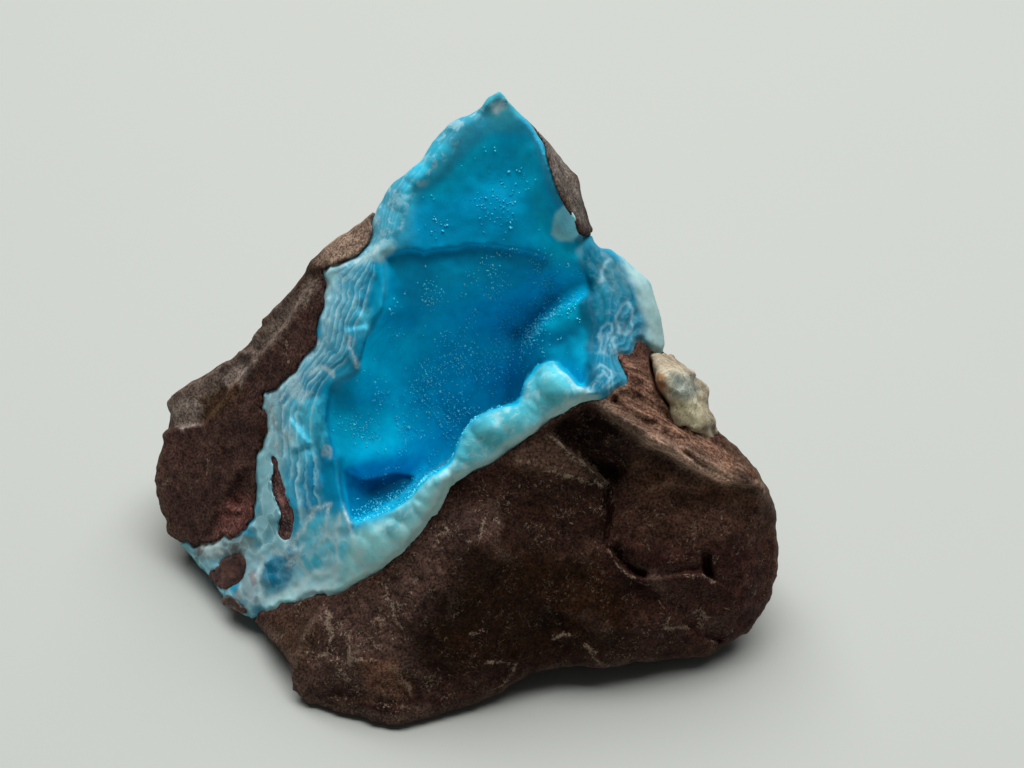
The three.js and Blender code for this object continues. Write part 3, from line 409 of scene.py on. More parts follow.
class Block:
    """a regular grid of cells of size h over a box, millimetres"""
    def __init__(self, lo, hi, h):
        self.h = h
        self.i0 = np.floor(np.array(lo) / h).astype(int)
        i1 = np.ceil(np.array(hi) / h).astype(int)
        self.n = tuple(int(v) for v in (i1 - self.i0 + 1))
        self.axes = [h * (self.i0[k] + np.arange(self.n[k])) for k in range(3)]

    def solid(self, points, tri, band=10):
        tr = vdb.createLinearTransform(self.h)
        g = vdb.FloatGrid.createLevelSetFromPolygons(points.astype(np.float32), triangles=tri.astype(np.uint32), transform=tr, halfWidth=float(band))
        out = np.zeros(self.n, np.float32)
        g.copyToArray(out, ijk=tuple(int(v) for v in self.i0))
        return out

    def noise(self, lam, seed):
        return grid_noise(self.axes, lam, seed)

    def points(self, index):
        return (np.stack(index, 1) + self.i0) * self.h

    def fill(self, field, chunk=400000):
        """the field on the cells near its zero surface; the rest only keeps its sign"""
        far = 3 * self.h
        c = 3
        ix = [np.arange(0, n + c, c) for n in self.n]
        shape = tuple(len(v) for v in ix)
        I = np.stack([g.ravel() for g in np.meshgrid(*ix, indexing="ij")], 1)
        P = (I + self.i0) * self.h
        v = np.concatenate([field(P[k:k + chunk]) for k in range(0, len(P), chunk)]).reshape(shape)
        near = np.abs(v) < 1.9 * c * self.h
        grown = near.copy()
        for ax in range(3):
            r = grown.copy()
            lo = [slice(None)] * 3
            hi = [slice(None)] * 3
            lo[ax], hi[ax] = slice(0, -1), slice(1, None)
            r[tuple(lo)] |= grown[tuple(hi)]
            grown = r
        up = lambda m: m.repeat(c, 0).repeat(c, 1).repeat(c, 2)[:self.n[0], :self.n[1], :self.n[2]]
        out = np.where(up(v) > 0, far, -far).astype(np.float32)
        idx = np.nonzero(up(grown))
        for k in range(0, len(idx[0]), chunk):
            part = tuple(i[k:k + chunk] for i in idx)
            out[part] = field(self.points(part))
        return out

    def mesh(self, f):
        """closed mesh of the zero surface: points, quads, triangles"""
        g = vdb.FloatGrid(float(3 * self.h))
        g.transform = vdb.createLinearTransform(self.h)
        f = np.clip(f, -3 * self.h, 3 * self.h)
        for s in (slice(0, 1), slice(-1, None)):
            f[s] = 3 * self.h
            f[:, s] = 3 * self.h
            f[:, :, s] = 3 * self.h
        g.copyFromArray(np.ascontiguousarray(f, np.float32), ijk=tuple(int(v) for v in self.i0))
        pts, tri, quad = g.convertToPolygons(isovalue=0.0, adaptivity=0.0)
        return np.array(pts, float), np.array(quad, int), np.array(tri, int)


def blur(f, sigma):
    r = max(1, int(math.ceil(sigma * 2.5)))
    w = np.exp(-0.5 * (np.arange(-r, r + 1) / sigma) ** 2)
    w /= w.sum()
    for ax in range(3):
        out = np.zeros_like(f)
        for k, c in zip(range(-r, r + 1), w):
            out += np.float32(c) * np.roll(f, k, axis=ax)
        f = out
    return f


def biggest(pts, quad, tri):
    """keeps the largest connected surface"""
    faces = [quad, tri]
    e = np.concatenate([np.stack([q[:, i], q[:, (i + 1) % q.shape[1]]], 1) for q in faces if len(q) for i in range(q.shape[1])])
    lab = np.arange(len(pts))
    for _ in range(200):
        m = np.minimum(lab[e[:, 0]], lab[e[:, 1]])
        new = lab.copy()
        np.minimum.at(new, e[:, 0], m)
        np.minimum.at(new, e[:, 1], m)
        new = new[new]
        if (new == lab).all():
            break
        lab = new
    ids, cnt = np.unique(lab, return_counts=True)
    keep = lab == ids[np.argmax(cnt)]
    num = np.cumsum(keep) - 1
    quad = num[quad[keep[quad[:, 0]]]] if len(quad) else quad
    tri = num[tri[keep[tri[:, 0]]]] if len(tri) else tri
    return pts[keep], quad, tri


def chunk_grid(block):
    """the whole chunk before it is opened: softened edges, broken steps and scallops"""
    f = block.solid(SURFACE, SURFACE_TRI)
    soft = blur(f, 0.8 / block.h)
    f = np.clip(soft, f - 0.18, f + 0.18)
    n1 = block.noise(9.0, 11)
    n2 = block.noise(4.2, 12)
    s = (n1 * 0.8 + n2 * 0.5) * 1.6
    step = np.floor(s) + smooth01(s - np.floor(s), 0.35, 0.65)
    return (f + 0.08 * n1 + 0.06 * step + 0.08 * n2 - 0.07 * np.abs(n2)).astype(np.float32)


def fine(P):
    return 0.07 * value_noise(P, 1.9, 13) + 0.04 * value_noise(P, 0.95, 14)


def bed(P, a, b, d):
    """distance to the surface that the lining grew on, negative on the lining's side"""
    n = 0.16 * value_noise(P, 2.6, 31) + 0.09 * value_noise(P, 1.1, 32)
    ragged = smooth01(-a, 19.0, 23.0) * (0.35 * value_noise(P, 1.7, 33) + 0.20 * value_noise(P, 0.8, 34))
    return np.maximum(contact_sd(a, b) + n + ragged, (d - bed_depth(a, b)) * bed_cos(a, b) + 0.3 * n)


def vug(P, a, b, d):
    """distance to the wall of the open hollow, negative in the hollow"""
    r = rim_sd(a, b) + 0.15 * value_noise(P, 1.5, 43) + 0.06 * value_noise(P, 0.7, 44)
    w = (d - wall_depth(a, b) - wall_front(a, b)) * wall_cos(a, b) + 0.05 * value_noise(P, 1.2, 42)
    return smax(r, w, 0.5)


# ------------------------------------------------------------------ meshes
def normals_of(pts, quad, tri):
    n = np.zeros_like(pts)
    for f in (quad, tri):
        if not len(f):
            continue
        p = pts[f]
        fn = np.cross(p[:, 2] - p[:, 0], p[:, -1] - p[:, 1]) if f.shape[1] == 4 else np.cross(p[:, 1] - p[:, 0], p[:, 2] - p[:, 0])
        for k in range(f.shape[1]):
            np.add.at(n, f[:, k], fn)
    return n / np.maximum(np.linalg.norm(n, axis=1), 1e-12)[:, None]


def mesh_piece(name, pts, quad, tri, material, attributes=None, smooth=True, replaces=()):
    me = bpy.data.meshes.new(name)
    faces = [tuple(f) for f in quad.tolist()] + [tuple(f) for f in tri.tolist()]
    me.from_pydata((pts * MM).tolist(), [], faces)
    me.update()
    if smooth:
        me.shade_smooth()
    for k, v in (attributes or {}).items():
        v = np.asarray(v, np.float32)
        if v.ndim == 1:
            at = me.attributes.new(k, "FLOAT", "POINT")
            at.data.foreach_set("value", v)
        elif k == "flow":
            at = me.attributes.new(k, "FLOAT_VECTOR", "POINT")
            at.data.foreach_set("vector", v.ravel())
        else:
            at = me.attributes.new(k, "FLOAT_COLOR", "POINT")
            at.data.foreach_set("color", np.concatenate([v, np.ones((len(v), 1), np.float32)], 1).ravel())
    ob = bpy.data.objects.new(name, me)
    bpy.context.scene.collection.objects.link(ob)
    me.materials.append(material)
    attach(ob, "root")
    if replaces:
        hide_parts(*replaces)
    return ob


def thin(pts, quad, tri, hidden, most):
    """collapses edges down to a number of triangles, mostly where hidden is near 1"""
    count = 2 * len(quad) + len(tri)
    if count <= most:
        return pts, quad, tri
    me = bpy.data.meshes.new("thin")
    me.from_pydata(pts.tolist(), [], quad.tolist() + tri.tolist())
    ob = bpy.data.objects.new("thin", me)
    bpy.context.scene.collection.objects.link(ob)
    g = ob.vertex_groups.new(name="hidden")
    level = np.round(hidden * 10).astype(int)
    for lev in range(11):
        ids = np.nonzero(level == lev)[0]
        if len(ids):
            g.add(ids.tolist(), lev / 10, "REPLACE")
    mod = ob.modifiers.new("thin", "DECIMATE")
    mod.ratio = most / count
    mod.vertex_group = "hidden"
    mod.vertex_group_factor = 12.0
    dg = bpy.context.evaluated_depsgraph_get()
    out = bpy.data.meshes.new_from_object(ob.evaluated_get(dg), depsgraph=dg)
    out.calc_loop_triangles()
    p = np.zeros(3 * len(out.vertices), np.float32)
    out.vertices.foreach_get("co", p)
    t = np.zeros(3 * len(out.loop_triangles), np.int32)
    out.loop_triangles.foreach_get("vertices", t)
    bpy.data.objects.remove(ob)
    bpy.data.meshes.remove(me)
    bpy.data.meshes.remove(out)
    return p.reshape(-1, 3).astype(float), np.zeros((0, 4), int), t.reshape(-1, 3).astype(int)


# ------------------------------------------------------------------ drawing on the opening
def px(points):
    """outline given in the 1024 x 768 view, as opening coordinates"""
    return [((x - 512) / 8.33, (384 - y) / 8.33) for x, y in points]


def area(points, soft=0.5, grow=0.0):
    """1 inside an outline, falling to 0 over soft mm"""
    return 1 - smooth01(polygon_distance(px(points), GA, GB) - grow, -soft * 0.5, soft * 0.5)


def stroke(points, width, power=2.0):
    d, _, _ = line_distance(px(points), GA, GB)
    return np.exp(-(d / width) ** power)


def one_side(points, reach, edge=0.15, left=True):
    """1 along one side of a line, fading over reach mm, with a sharp edge at the line"""
    d, t, s = line_distance(px(points), GA, GB)
    s = s if left else -s
    ends = smooth01(t, 0.0, 0.3) * (1 - smooth01(t, 0.7, 1.0))
    return np.exp(-(d / reach) ** 1.5) * smooth01(s * d, -edge, edge) * ends


def slope_side(points, reach, left=True, edge=0.10, hold=0.12):
    """1 at a line, falling evenly to 0 over reach mm on one side of it only"""
    d, t, s = line_distance(px(points), GA, GB)
    s = s if left else -s
    ends = smooth01(t, 0.0, hold) * (1 - smooth01(t, 1 - hold, 1.0))
    return np.clip(1 - d / reach, 0, 1) * smooth01(s * d, -edge, edge) * ends


PG = np.stack([GA.ravel(), GB.ravel(), np.zeros(GA.size)], 1)


def sheet_noise(lam, seed, octaves=3, turn=0.0, stretch=1.0):
    c, s = math.cos(math.radians(turn)), math.sin(math.radians(turn))
    u = (PG[:, 0] * c + PG[:, 1] * s) / stretch
    v = -PG[:, 0] * s + PG[:, 1] * c
    return fractal(np.stack([u, v, np.zeros(len(u))], 1), lam, seed, octaves).reshape(GA.shape)


def trilinear(block, F, P):
    u = P / block.h - block.i0
    n = np.array(block.n)
    u = np.clip(u, 0, n - 1.001).astype(np.float32)
    i = u.astype(np.int32)
    t = u - i
    x, y, z = i[..., 0], i[..., 1], i[..., 2]
    tx, ty, tz = t[..., 0], t[..., 1], t[..., 2]
    c = lambda p, q, r: F[x + p, y + q, z + r]
    lo = lerp(lerp(c(0, 0, 0), c(1, 0, 0), tx), lerp(c(0, 1, 0), c(1, 1, 0), tx), ty)
    hi = lerp(lerp(c(0, 0, 1), c(1, 0, 1), tx), lerp(c(0, 1, 1), c(1, 1, 1), tx), ty)
    return lerp(lo, hi, tz)


def first_surface(block, F, step=0.45):
    """depth of the nearest surface through each place in the opening"""
    sub = 3
    ga, gb = GA[::sub, ::sub], GB[::sub, ::sub]
    depth = np.full(ga.shape, np.nan)
    prev = None
    for d in np.arange(-27, 40, step):
        v = trilinear(block, F, place(ga, gb, d))
        if prev is not None:
            hit = np.isnan(depth) & (prev > 0) & (v <= 0)
            depth[hit] = (d - step * (-v / np.maximum(prev - v, 1e-6)))[hit]
        prev = v
    for _ in range(60):
        bad = np.isnan(depth)
        if not bad.any():
            break
        s = np.zeros_like(depth)
        n = np.zeros_like(depth)
        for ax in (0, 1):
            for k in (-1, 1):
                r = np.roll(depth, k, axis=ax)
                ok = ~np.isnan(r)
                s += np.where(ok, r, 0)
                n += ok
        depth = np.where(bad & (n > 0), s / np.maximum(n, 1), depth)
    depth = np.where(np.isnan(depth), 40, depth)
    i = np.minimum(np.arange(NA) / sub, depth.shape[0] - 1.001)
    j = np.minimum(np.arange(NB) / sub, depth.shape[1] - 1.001)
    a, b = i.astype(int), j.astype(int)
    s, t = (i - a)[:, None], (j - b)[None, :]
    up = lambda p, q: depth[np.ix_(a + p, b + q)]
    return Sheet((up(0, 0) * (1 - s) + up(1, 0) * s) * (1 - t) + (up(0, 1) * (1 - s) + up(1, 1) * s) * t)


def chips(block, f, count, seed, size, radius, where=None):
    """shallow scallops broken out of the surface"""
    rng = np.random.default_rng(seed)
    tri = SURFACE[SURFACE_TRI]
    n = np.cross(tri[:, 1] - tri[:, 0], tri[:, 2] - tri[:, 0])
    ar = np.linalg.norm(n, axis=1)
    n = n / ar[:, None]
    pick = rng.choice(len(tri), count * 3, p=ar / ar.sum())
    done = 0
    for k in pick:
        w = rng.dirichlet((1, 1, 1))
        p = w @ tri[k]
        nn = n[k] + rng.normal(0, 0.22, 3)
        nn /= np.linalg.norm(nn)
        R = rng.uniform(*radius)
        cut = rng.uniform(*size)
        if where is not None and not where(p):
            continue
        done += 1
        if done > count:
            break
        c = p + nn * (R - cut)
        wide = math.sqrt(2 * R * cut) * 1.25
        reach = wide + 0.5
        lo = np.clip(np.floor((p - reach) / block.h).astype(int) - block.i0, 0, np.array(block.n) - 1)
        hi = np.clip(np.ceil((p + reach) / block.h).astype(int) - block.i0 + 1, 1, np.array(block.n))
        s = tuple(slice(int(a), int(b)) for a, b in zip(lo, hi))
        x = block.axes[0][s[0]][:, None, None] - c[0]
        y = block.axes[1][s[1]][None, :, None] - c[1]
        z = block.axes[2][s[2]][None, None, :] - c[2]
        q = np.sqrt((x + c[0] - p[0]) ** 2 + (y + c[1] - p[1]) ** 2 + (z + c[2] - p[2]) ** 2)
        gain = np.clip(R - np.sqrt(x * x + y * y + z * z) - f[s], 0, cut) * (1 - smooth01(q, wide * 0.75, wide))
        f[s] += gain.astype(np.float32)
    return f


def rgb(r, g, b):
    c = np.array([r, g, b], float) / 255
    return np.where(c <= 0.04045, c / 12.92, ((c + 0.055) / 1.055) ** 2.4)


def paint(base, mask, colour, amount=1.0):
    m = np.clip(np.asarray(mask) * amount, 0, 1)[:, None]
    return base * (1 - m) + np.asarray(colour) * m


# ------------------------------------------------------------------ relief of the visible faces, mm carved away
OPEN_LINE = [(250, 622), (300, 598), (335, 596), (372, 578), (410, 545), (428, 520), (447, 497), (447, 482), (489, 466), (520, 443), (545, 427), (562, 412), (586, 398)]

grain = sheet_noise(1.6, 101, 4)
broad = sheet_noise(7.0, 102, 3)


def rock_relief():
    r = np.zeros_like(GA)
    # under the upper edge the stone is broken back into a dark hollow
    under = [(550, 431), (568, 412), (586, 403), (602, 412), (628, 431), (652, 446), (672, 457), (694, 470), (722, 482), (762, 487)]
    r += 1.6 * slope_side(under, 6.0, left=False, edge=0.22, hold=0.06)
    r -= 0.30 * slope_side(under, 1.2, left=True, edge=0.22, hold=0.06)
    # the ridge facet, its lower edge nearest the eye, and the drop beyond its upper edge
    low = [(508, 458), (530, 466), (552, 472), (576, 478), (598, 484), (614, 486)]
    r -= 1.05 * slope_side(low, 4.0, left=True) + 1.05 * slope_side(low, 7.0, left=False)
    r += 1.6 * slope_side([(546, 430), (562, 443), (578, 457), (596, 472), (616, 488)], 3.4, left=True, edge=0.10, hold=0.06)
    r -= 0.35 * stroke([(552, 436), (575, 456), (596, 472), (611, 484)], 0.28)
    # the upright groove under the ridge's corner, and the fan of fracture to its right
    groove = [(613, 482), (613, 500), (611, 525), (606, 548)]
    r += 0.80 * slope_side(groove, 0.75, left=False, edge=0.06, hold=0.05)
    r -= 0.55 * slope_side(groove, 7.0, left=True, edge=0.06, hold=0.05)
    fan = sheet_noise(0.75, 111, 3, turn=32, stretch=3.0)
    r += 0.16 * fan * area([(614, 486), (660, 478), (706, 486), (716, 520), (696, 560), (640, 556), (616, 540)], 3.0)
    # a crescent scar with a thin lip
    r += 1.5 * slope_side([(609, 545), (614, 556), (622, 566), (634, 575), (648, 579)], 1.9, left=True, edge=0.08, hold=0.10)
    r -= 0.45 * stroke([(609, 552), (616, 564), (627, 575), (642, 582)], 0.22)
    # a step runs on to the right, with an upright notch where it stops, and a shell of lighter stone below
    ledge = [(644, 577), (662, 578), (684, 574), (702, 573), (714, 580), (726, 588), (742, 594)]
    r += 0.85 * slope_side(ledge[:5], 2.4, left=True, edge=0.08, hold=0.05)
    r -= 0.35 * slope_side(ledge, 2.0, left=False, edge=0.08, hold=0.05)
    r += 0.55 * area([(660, 584), (700, 582), (730, 594), (738, 624), (716, 634), (688, 622), (664, 602)], 3.0)
    r += 1.5 * area([(702, 552), (711, 554), (711, 576), (706, 577), (702, 568)], 0.35)
    r += 0.9 * area([(706, 574), (713, 578), (718, 583), (710, 580)], 0.3)
    crack = [(664, 602), (676, 616), (686, 628), (698, 636), (712, 640), (726, 641)]
    r += 0.55 * slope_side(crack, 5.0, left=True, edge=0.06, hold=0.1)
    r += 0.40 * stroke([(682, 622), (692, 633), (706, 639), (720, 641)], 0.20)
    r += 0.12 * stroke([(738, 576), (739, 606), (737, 625)], 0.16)
    r -= 0.18 * slope_side([(740, 560), (741, 590), (738, 615)], 3.5, left=True, edge=0.25)
    # the big lower facet and the brighter band beside it
    turn = [(398, 632), (414, 612), (432, 590), (448, 570), (464, 553), (480, 543), (506, 536)]
    r -= 1.2 * slope_side(turn, 5.0, left=True, edge=0.15) + 1.2 * slope_side(turn, 8.0, left=False, edge=0.15)
    r += 0.35 * area([(448, 606), (476, 572), (540, 560), (592, 566), (604, 610), (560, 650), (480, 660), (440, 640)], 5.0)
    r -= 0.35 * stroke([(486, 666), (514, 662)], 0.45) + 0.35 * stroke([(514, 664), (500, 690)], 0.35)
    r -= 0.30 * stroke([(584, 646), (592, 654), (606, 664)], 0.35)
    r -= 0.25 * area([(550, 632), (578, 632), (580, 640), (562, 642), (550, 638)], 0.4)
    # the near left shoulder: a ridge down from the contact, a raised arc, a worn toe
    ridge = [(322, 602), (327, 622), (331, 642), (322, 668), (318, 700)]
    r -= 0.45 * slope_side(ridge, 2.6, left=True) + 0.45 * slope_side(ridge, 3.6, left=False)
    arc = [(340, 660), (360, 657), (380, 663), (396, 674), (408, 686)]
    r -= 0.55 * slope_side(arc, 3.2, left=False, hold=0.25) + 0.55 * slope_side(arc, 2.2, left=True, hold=0.25)
    r += 0.30 * stroke([(374, 575), (386, 594), (400, 622)], 0.18)
    r += 0.35 * stroke([(330, 694), (372, 700), (420, 706)], 0.5)
    rough = area([(322, 606), (372, 584), (430, 526), (470, 512), (470, 548), (440, 588), (410, 626), (420, 700), (370, 720), (310, 700), (316, 650)], 3.0)
    r += 0.26 * rough * sheet_noise(0.9, 112, 3)
    # thin-bedded top behind the near edge
    flakes = np.abs(sheet_noise(1.1, 103, 3, turn=-31, stretch=10.0))
    flakes = smooth01(flakes, 0.02, 0.26)
    m = area([(606, 392), (632, 363), (655, 380), (702, 436), (748, 466), (768, 490), (735, 482), (700, 466), (660, 446), (622, 420)], 0.8)
    r += m * (0.30 - 0.36 * flakes)
    lens = 1 - np.abs(sheet_noise(2.6, 109, 2, turn=-29, stretch=3.5))
    r -= m * 0.30 * smooth01(lens, 0.55, 0.95)
    r -= 0.35 * stroke([(604, 400), (640, 428), (676, 452), (712, 476)], 0.5)
    r += 0.35 * stroke([(638, 419), (648, 424), (656, 424)], 0.3) + 0.45 * stroke([(664, 434), (678, 446), (690, 455), (704, 466)], 0.3)
    r += 0.35 * stroke([(655, 404), (672, 420), (694, 436)], 0.3) + 0.9 * area([(608, 392), (616, 396), (618, 406), (608, 404)], 0.5)
    # left face: a flat parting with a bevel along its far edge
    bevel = [(160, 436), (176, 428), (204, 424), (224, 398), (240, 376), (258, 354)]
    r -= 0.15 * stroke(bevel, 0.3)
    r += 1.1 * slope_side(bevel, 4.2, left=True, edge=0.12)
    bevel = [(252, 364), (262, 352), (286, 322), (308, 288), (322, 268)]
    r += 0.9 * slope_side(bevel, 2.8, left=True, edge=0.12)
    r += 0.7 * area([(238, 336), (250, 336), (256, 350), (248, 352), (240, 350)], 0.4)
    r += 0.20 * stroke([(291, 330), (287, 366)], 0.2) + 0.20 * stroke([(312, 287), (299, 318)], 0.2)
    r += 0.9 * area([(228, 496), (240, 474), (258, 468), (262, 490), (248, 506), (232, 508)], 1.0)
    r += area([(208, 530), (222, 500), (252, 492), (258, 530), (240, 548), (200, 548)], 1.0) * (0.25 + 0.55 * sheet_noise(0.7, 104, 3))
    r += 0.10 * grain * area([(160, 430), (262, 340), (330, 270), (330, 300), (262, 400), (250, 480), (225, 535), (175, 550), (150, 500)], 2.0)
    r += 0.10 * sheet_noise(0.8, 113, 2)
    return r


def held_at_contact(r):
    return r * np.where(r > 0, smooth01(contact_sd.v, 0.1, 1.1), smooth01(contact_sd.v, -0.2, 1.8))


rock_front = Sheet(held_at_contact(rock_relief()))

LOBES = [(578, 378, 5.2, 3.6, 0.95), (552, 392, 3.6, 3.2, 0.55), (505, 420, 4.4, 3.2, 0.85), (478, 440, 3.4, 3.2, 0.55), (450, 470, 2.6, 2.8, 0.45),
         (432, 492, 2.8, 3.4, 0.85), (408, 522, 2.8, 2.8, 0.5), (380, 543, 4.0, 3.0, 0.6), (352, 560, 2.6, 3.0, 0.35)]

dc = np.maximum(-contact_sd.v, 0)
dr = np.maximum(rim_sd.v, 0)
growth = dc / (dc + dr + 1e-3)


def crust_relief():
    r = np.zeros_like(GA)
    for x, y, ra, rb, h in LOBES:
        (a, b), = px([(x, y)])
        q = ((GA - a) / ra) ** 2 + ((GB - b) / rb) ** 2
        r -= 1.35 * h * np.maximum(1 - q, 0) ** 0.7
    # a flat fracture runs across the first lobe
    r += 0.55 * slope_side([(556, 362), (564, 371), (576, 381), (594, 394)], 2.6, left=True, edge=0.12)
    # ribs of the banded section on the left
    left = area([(262, 380), (296, 366), (322, 335), (318, 262), (352, 256), (384, 262), (378, 330), (362, 372), (334, 400), (336, 460), (350, 500), (300, 530), (284, 470), (262, 420)], 1.5)
    wave = np.sin(2 * np.pi * (growth * 7.3 + 0.5 * sheet_noise(2.4, 105, 2)))
    r += left * 0.03 * wave + left * 0.05 * sheet_noise(0.9, 106, 3)
    r += left * 0.22 * smooth01(growth + 0.15 * sheet_noise(1.4, 108, 2), 0.62, 0.70)
    # blocky, cleaved lower part
    r += area([(200, 540), (258, 520), (300, 530), (345, 520), (352, 560), (330, 590), (262, 606), (236, 632), (196, 600)], 1.5) * 0.20 * sheet_noise(1.1, 107, 3)
    r -= 0.45 * area([(345, 330), (366, 326), (371, 350), (360, 372), (346, 356)], 0.5)
    r -= 0.40 * area([(290, 418), (305, 437), (312, 444), (292, 452), (284, 432)], 0.4)
    # agate loops on the right
    r += area([(588, 262), (612, 262), (640, 300), (632, 350), (612, 396), (588, 392), (596, 330)], 1.0) * 0.10 * np.sin(2 * np.pi * growth * 6)
    r -= 0.9 * area([(622, 262), (650, 280), (664, 318), (662, 352), (648, 342), (636, 300)], 3.0)
    r += 0.9 * area([(580, 236), (604, 234), (606, 300), (600, 350), (586, 350), (582, 290)], 2.2)
    # the pale knob on the wall's right edge, and the lobes along its left edge
    r -= 1.2 * area([(553, 232), (556, 214), (566, 203), (578, 214), (581, 232), (572, 242), (558, 240)], 1.6)
    r -= 0.5 * area([(577, 246), (590, 238), (602, 262), (596, 284), (584, 276)], 1.2)
    for x, y, q in ((398, 196, 2.0), (388, 224, 1.8), (384, 248, 1.8), (430, 148, 2.2), (455, 118, 1.8), (415, 172, 1.6), (478, 98, 1.8), (500, 104, 2.2)):
        (a, b), = px([(x, y)])
        r -= 0.22 * np.maximum(1 - ((GA - a) ** 2 + (GB - b) ** 2) / q ** 2, 0)
    return r


crust_front = Sheet(crust_relief())
round_rim = 0.35 + 1.7 * area([(338, 520), (352, 532), (380, 522), (412, 500), (430, 470), (455, 440), (500, 405), (530, 370), (570, 358), (590, 372), (600, 400), (540, 440), (450, 500), (410, 560), (350, 600)], 2.0)
round_rim += 0.9 * area([(545, 245), (550, 205), (570, 195), (590, 225), (585, 262)], 1.5)
round_rim += 0.5 * area([(370, 262), (376, 190), (440, 105), (505, 85), (525, 110), (480, 150), (420, 215), (395, 262)], 1.5)
round_rim += 1.1 * area([(578, 236), (606, 232), (610, 300), (606, 392), (588, 392), (584, 290)], 2.0)
round_rim = Sheet(round_rim)

# the hollow's own relief: a step where the upper wall ends, a crest on the right, and rounded growths
CREASE = [(384, 259), (396, 253), (408, 250), (418, 251), (424, 254), (433, 251), (447, 249), (458, 249), (468, 245), (490, 245), (512, 249), (533, 253), (550, 260)]
CREST = [(523, 352), (531, 341), (540, 328), (549, 317), (560, 309), (575, 302), (592, 299), (603, 297)]


def wall_relief():
    r = 0.75 * slope_side(CREASE, 4.5, left=False, edge=0.10, hold=0.03) - 0.25 * slope_side(CREASE, 2.4, left=True, edge=0.10, hold=0.03)
    r -= 0.55 * stroke(CREST, 0.55)
    r += 0.5 * one_side(CREST, 2.0, 0.3, left=True)
    r += 0.6 * slope_side([(342, 471), (352, 468), (364, 479), (380, 481), (396, 474), (414, 477)], 2.6, left=False, edge=0.10, hold=0.05)
    f1, f2, _ = cells(PG + np.array([0, 0, 3.3]), 5.0, 201)
    lower = smooth01(15.5 - GB, -1.0, 2.0)
    r += (0.12 + 0.16 * lower) * (smooth01(f1.reshape(GA.shape), 0.4, 3.6) - 0.5)
    f1, f2, _ = cells(PG * np.array([1, 1, 1]) + np.array([9.1, 2.2, 3.3]), 1.7, 202)
    r += (0.04 + 0.06 * lower) * (smooth01(f1.reshape(GA.shape), 0.1, 1.2) - 0.5)
    return r


wall_front = Sheet(wall_relief())


# ------------------------------------------------------------------ solids
def union_box(pts, pad):
    return pts.min(0) - pad, pts.max(0) + pad


clock = time.perf_counter()


def lap(what):
    print("%-24s %.1f s" % (what, time.perf_counter() - clock))


LO, HI = union_box(SURFACE, 2.0)
H_ROCK = 0.30
H_CRUST = 0.25

chunk_block = Block(LO, HI, 0.45)
chunk_f = chunk_grid(chunk_block)
seen = first_surface(chunk_block, chunk_f)
lap("first surface")
depth_at = lambda p: float(seen(*unplace(p)[:2]))
chunk_f = chips(chunk_block, chunk_f, 420, 21, (0.18, 0.55), (6, 22), lambda p: (p - MIDDLE) @ INTO > depth_at(p) + 4)
chunk_f = chips(chunk_block, chunk_f, 130, 22, (0.08, 0.26), (5, 18), lambda p: (p - MIDDLE) @ INTO <= depth_at(p) + 4 and contact_sd(*unplace(p)[:2]) > 1.5)
lap("chunk")


def chunk(P):
    return trilinear(chunk_block, chunk_f, P)


def prism(outline, back, seed):
    """stone inside an outline, down to a depth"""
    sd = Sheet(polygon_distance(chaikin(outline, 1, 0.25), GA, GB))
    def at(P, a, b, d):
        return np.maximum(sd(a, b) + 0.16 * value_noise(P, 0.9, seed) - (0.12 if seed == 61 else 0), d - back)
    return at


def lump_field(block):
    import bmesh
    bm = bmesh.new()
    for p in LUMP:
        bm.verts.new(p)
    bmesh.ops.convex_hull(bm, input=bm.verts)
    bmesh.ops.triangulate(bm, faces=bm.faces)
    bm.verts.index_update()
    loose = [v for v in bm.verts if not v.link_faces]
    bmesh.ops.delete(bm, geom=loose, context="VERTS")
    bm.verts.index_update()
    P = np.array([v.co[:] for v in bm.verts])
    T = np.array([[v.index for v in f.verts] for f in bm.faces], np.uint32)
    c = P.mean(0)
    n = np.cross(P[T[:, 1]] - P[T[:, 0]], P[T[:, 2]] - P[T[:, 0]])
    flip = (n * (P[T].mean(1) - c)).sum(1) < 0
    T[flip] = T[flip][:, ::-1]
    bm.free()
    f = block.solid(P, T, 8)
    return np.clip(blur(f, 0.4 / block.h), f - 0.2, f + 0.2) - 0.45


fragments = {"clast_sliver": (SLIVER, SLIVER_BACK, 61), "clast_oval": (OVAL, OVAL_BACK, 62), "clast_small": (SMALL, SMALL_BACK, 63)}
prisms = {k: prism(*v) for k, v in fragments.items()}
lump_block = Block(LUMP.min(0) - 3, LUMP.max(0) + 3, 0.26)
lump_f = lump_field(lump_block)


def lump_at(P):
    edge = np.maximum(np.maximum(lump_block.i0 * lump_block.h - P, P - (lump_block.i0 + np.array(lump_block.n) - 1) * lump_block.h).max(1), 0)
    return trilinear(lump_block, lump_f, P) + edge


def outer(P, a, b, d):
    return chunk(P) + fine(P)


def rock_at(P):
    a, b, d = unplace(P)
    near = 1 - smooth01(d - seen(a, b), 2.0, 5.0)
    f = outer(P, a, b, d) + rock_front(a, b) * near
    f = np.maximum(f, 0.03 - P[:, 2])
    f = np.maximum(f, -bed(P, a, b, d))
    return np.maximum(f, -(lump_at(P) + 0.25))


rock_block = Block(LO, HI, H_ROCK)
rock_pts, rock_quad, rock_tri = biggest(*rock_block.mesh(rock_block.fill(rock_at)))
lap("rock mesh %d" % len(rock_quad))
a_, b_, d_ = unplace(rock_pts)
rock_pts, rock_quad, rock_tri = thin(rock_pts, rock_quad, rock_tri, 0.15 + 0.85 * smooth01(d_ - seen(a_, b_), 1.0, 4.0), 192000)
lap("rock thinned %d" % len(rock_tri))
soft_chunk = blur(chunk_f, 0.9 / 0.45)
rock_wear_and_hollow_shade = trilinear(chunk_block, soft_chunk - chunk_f, rock_pts)

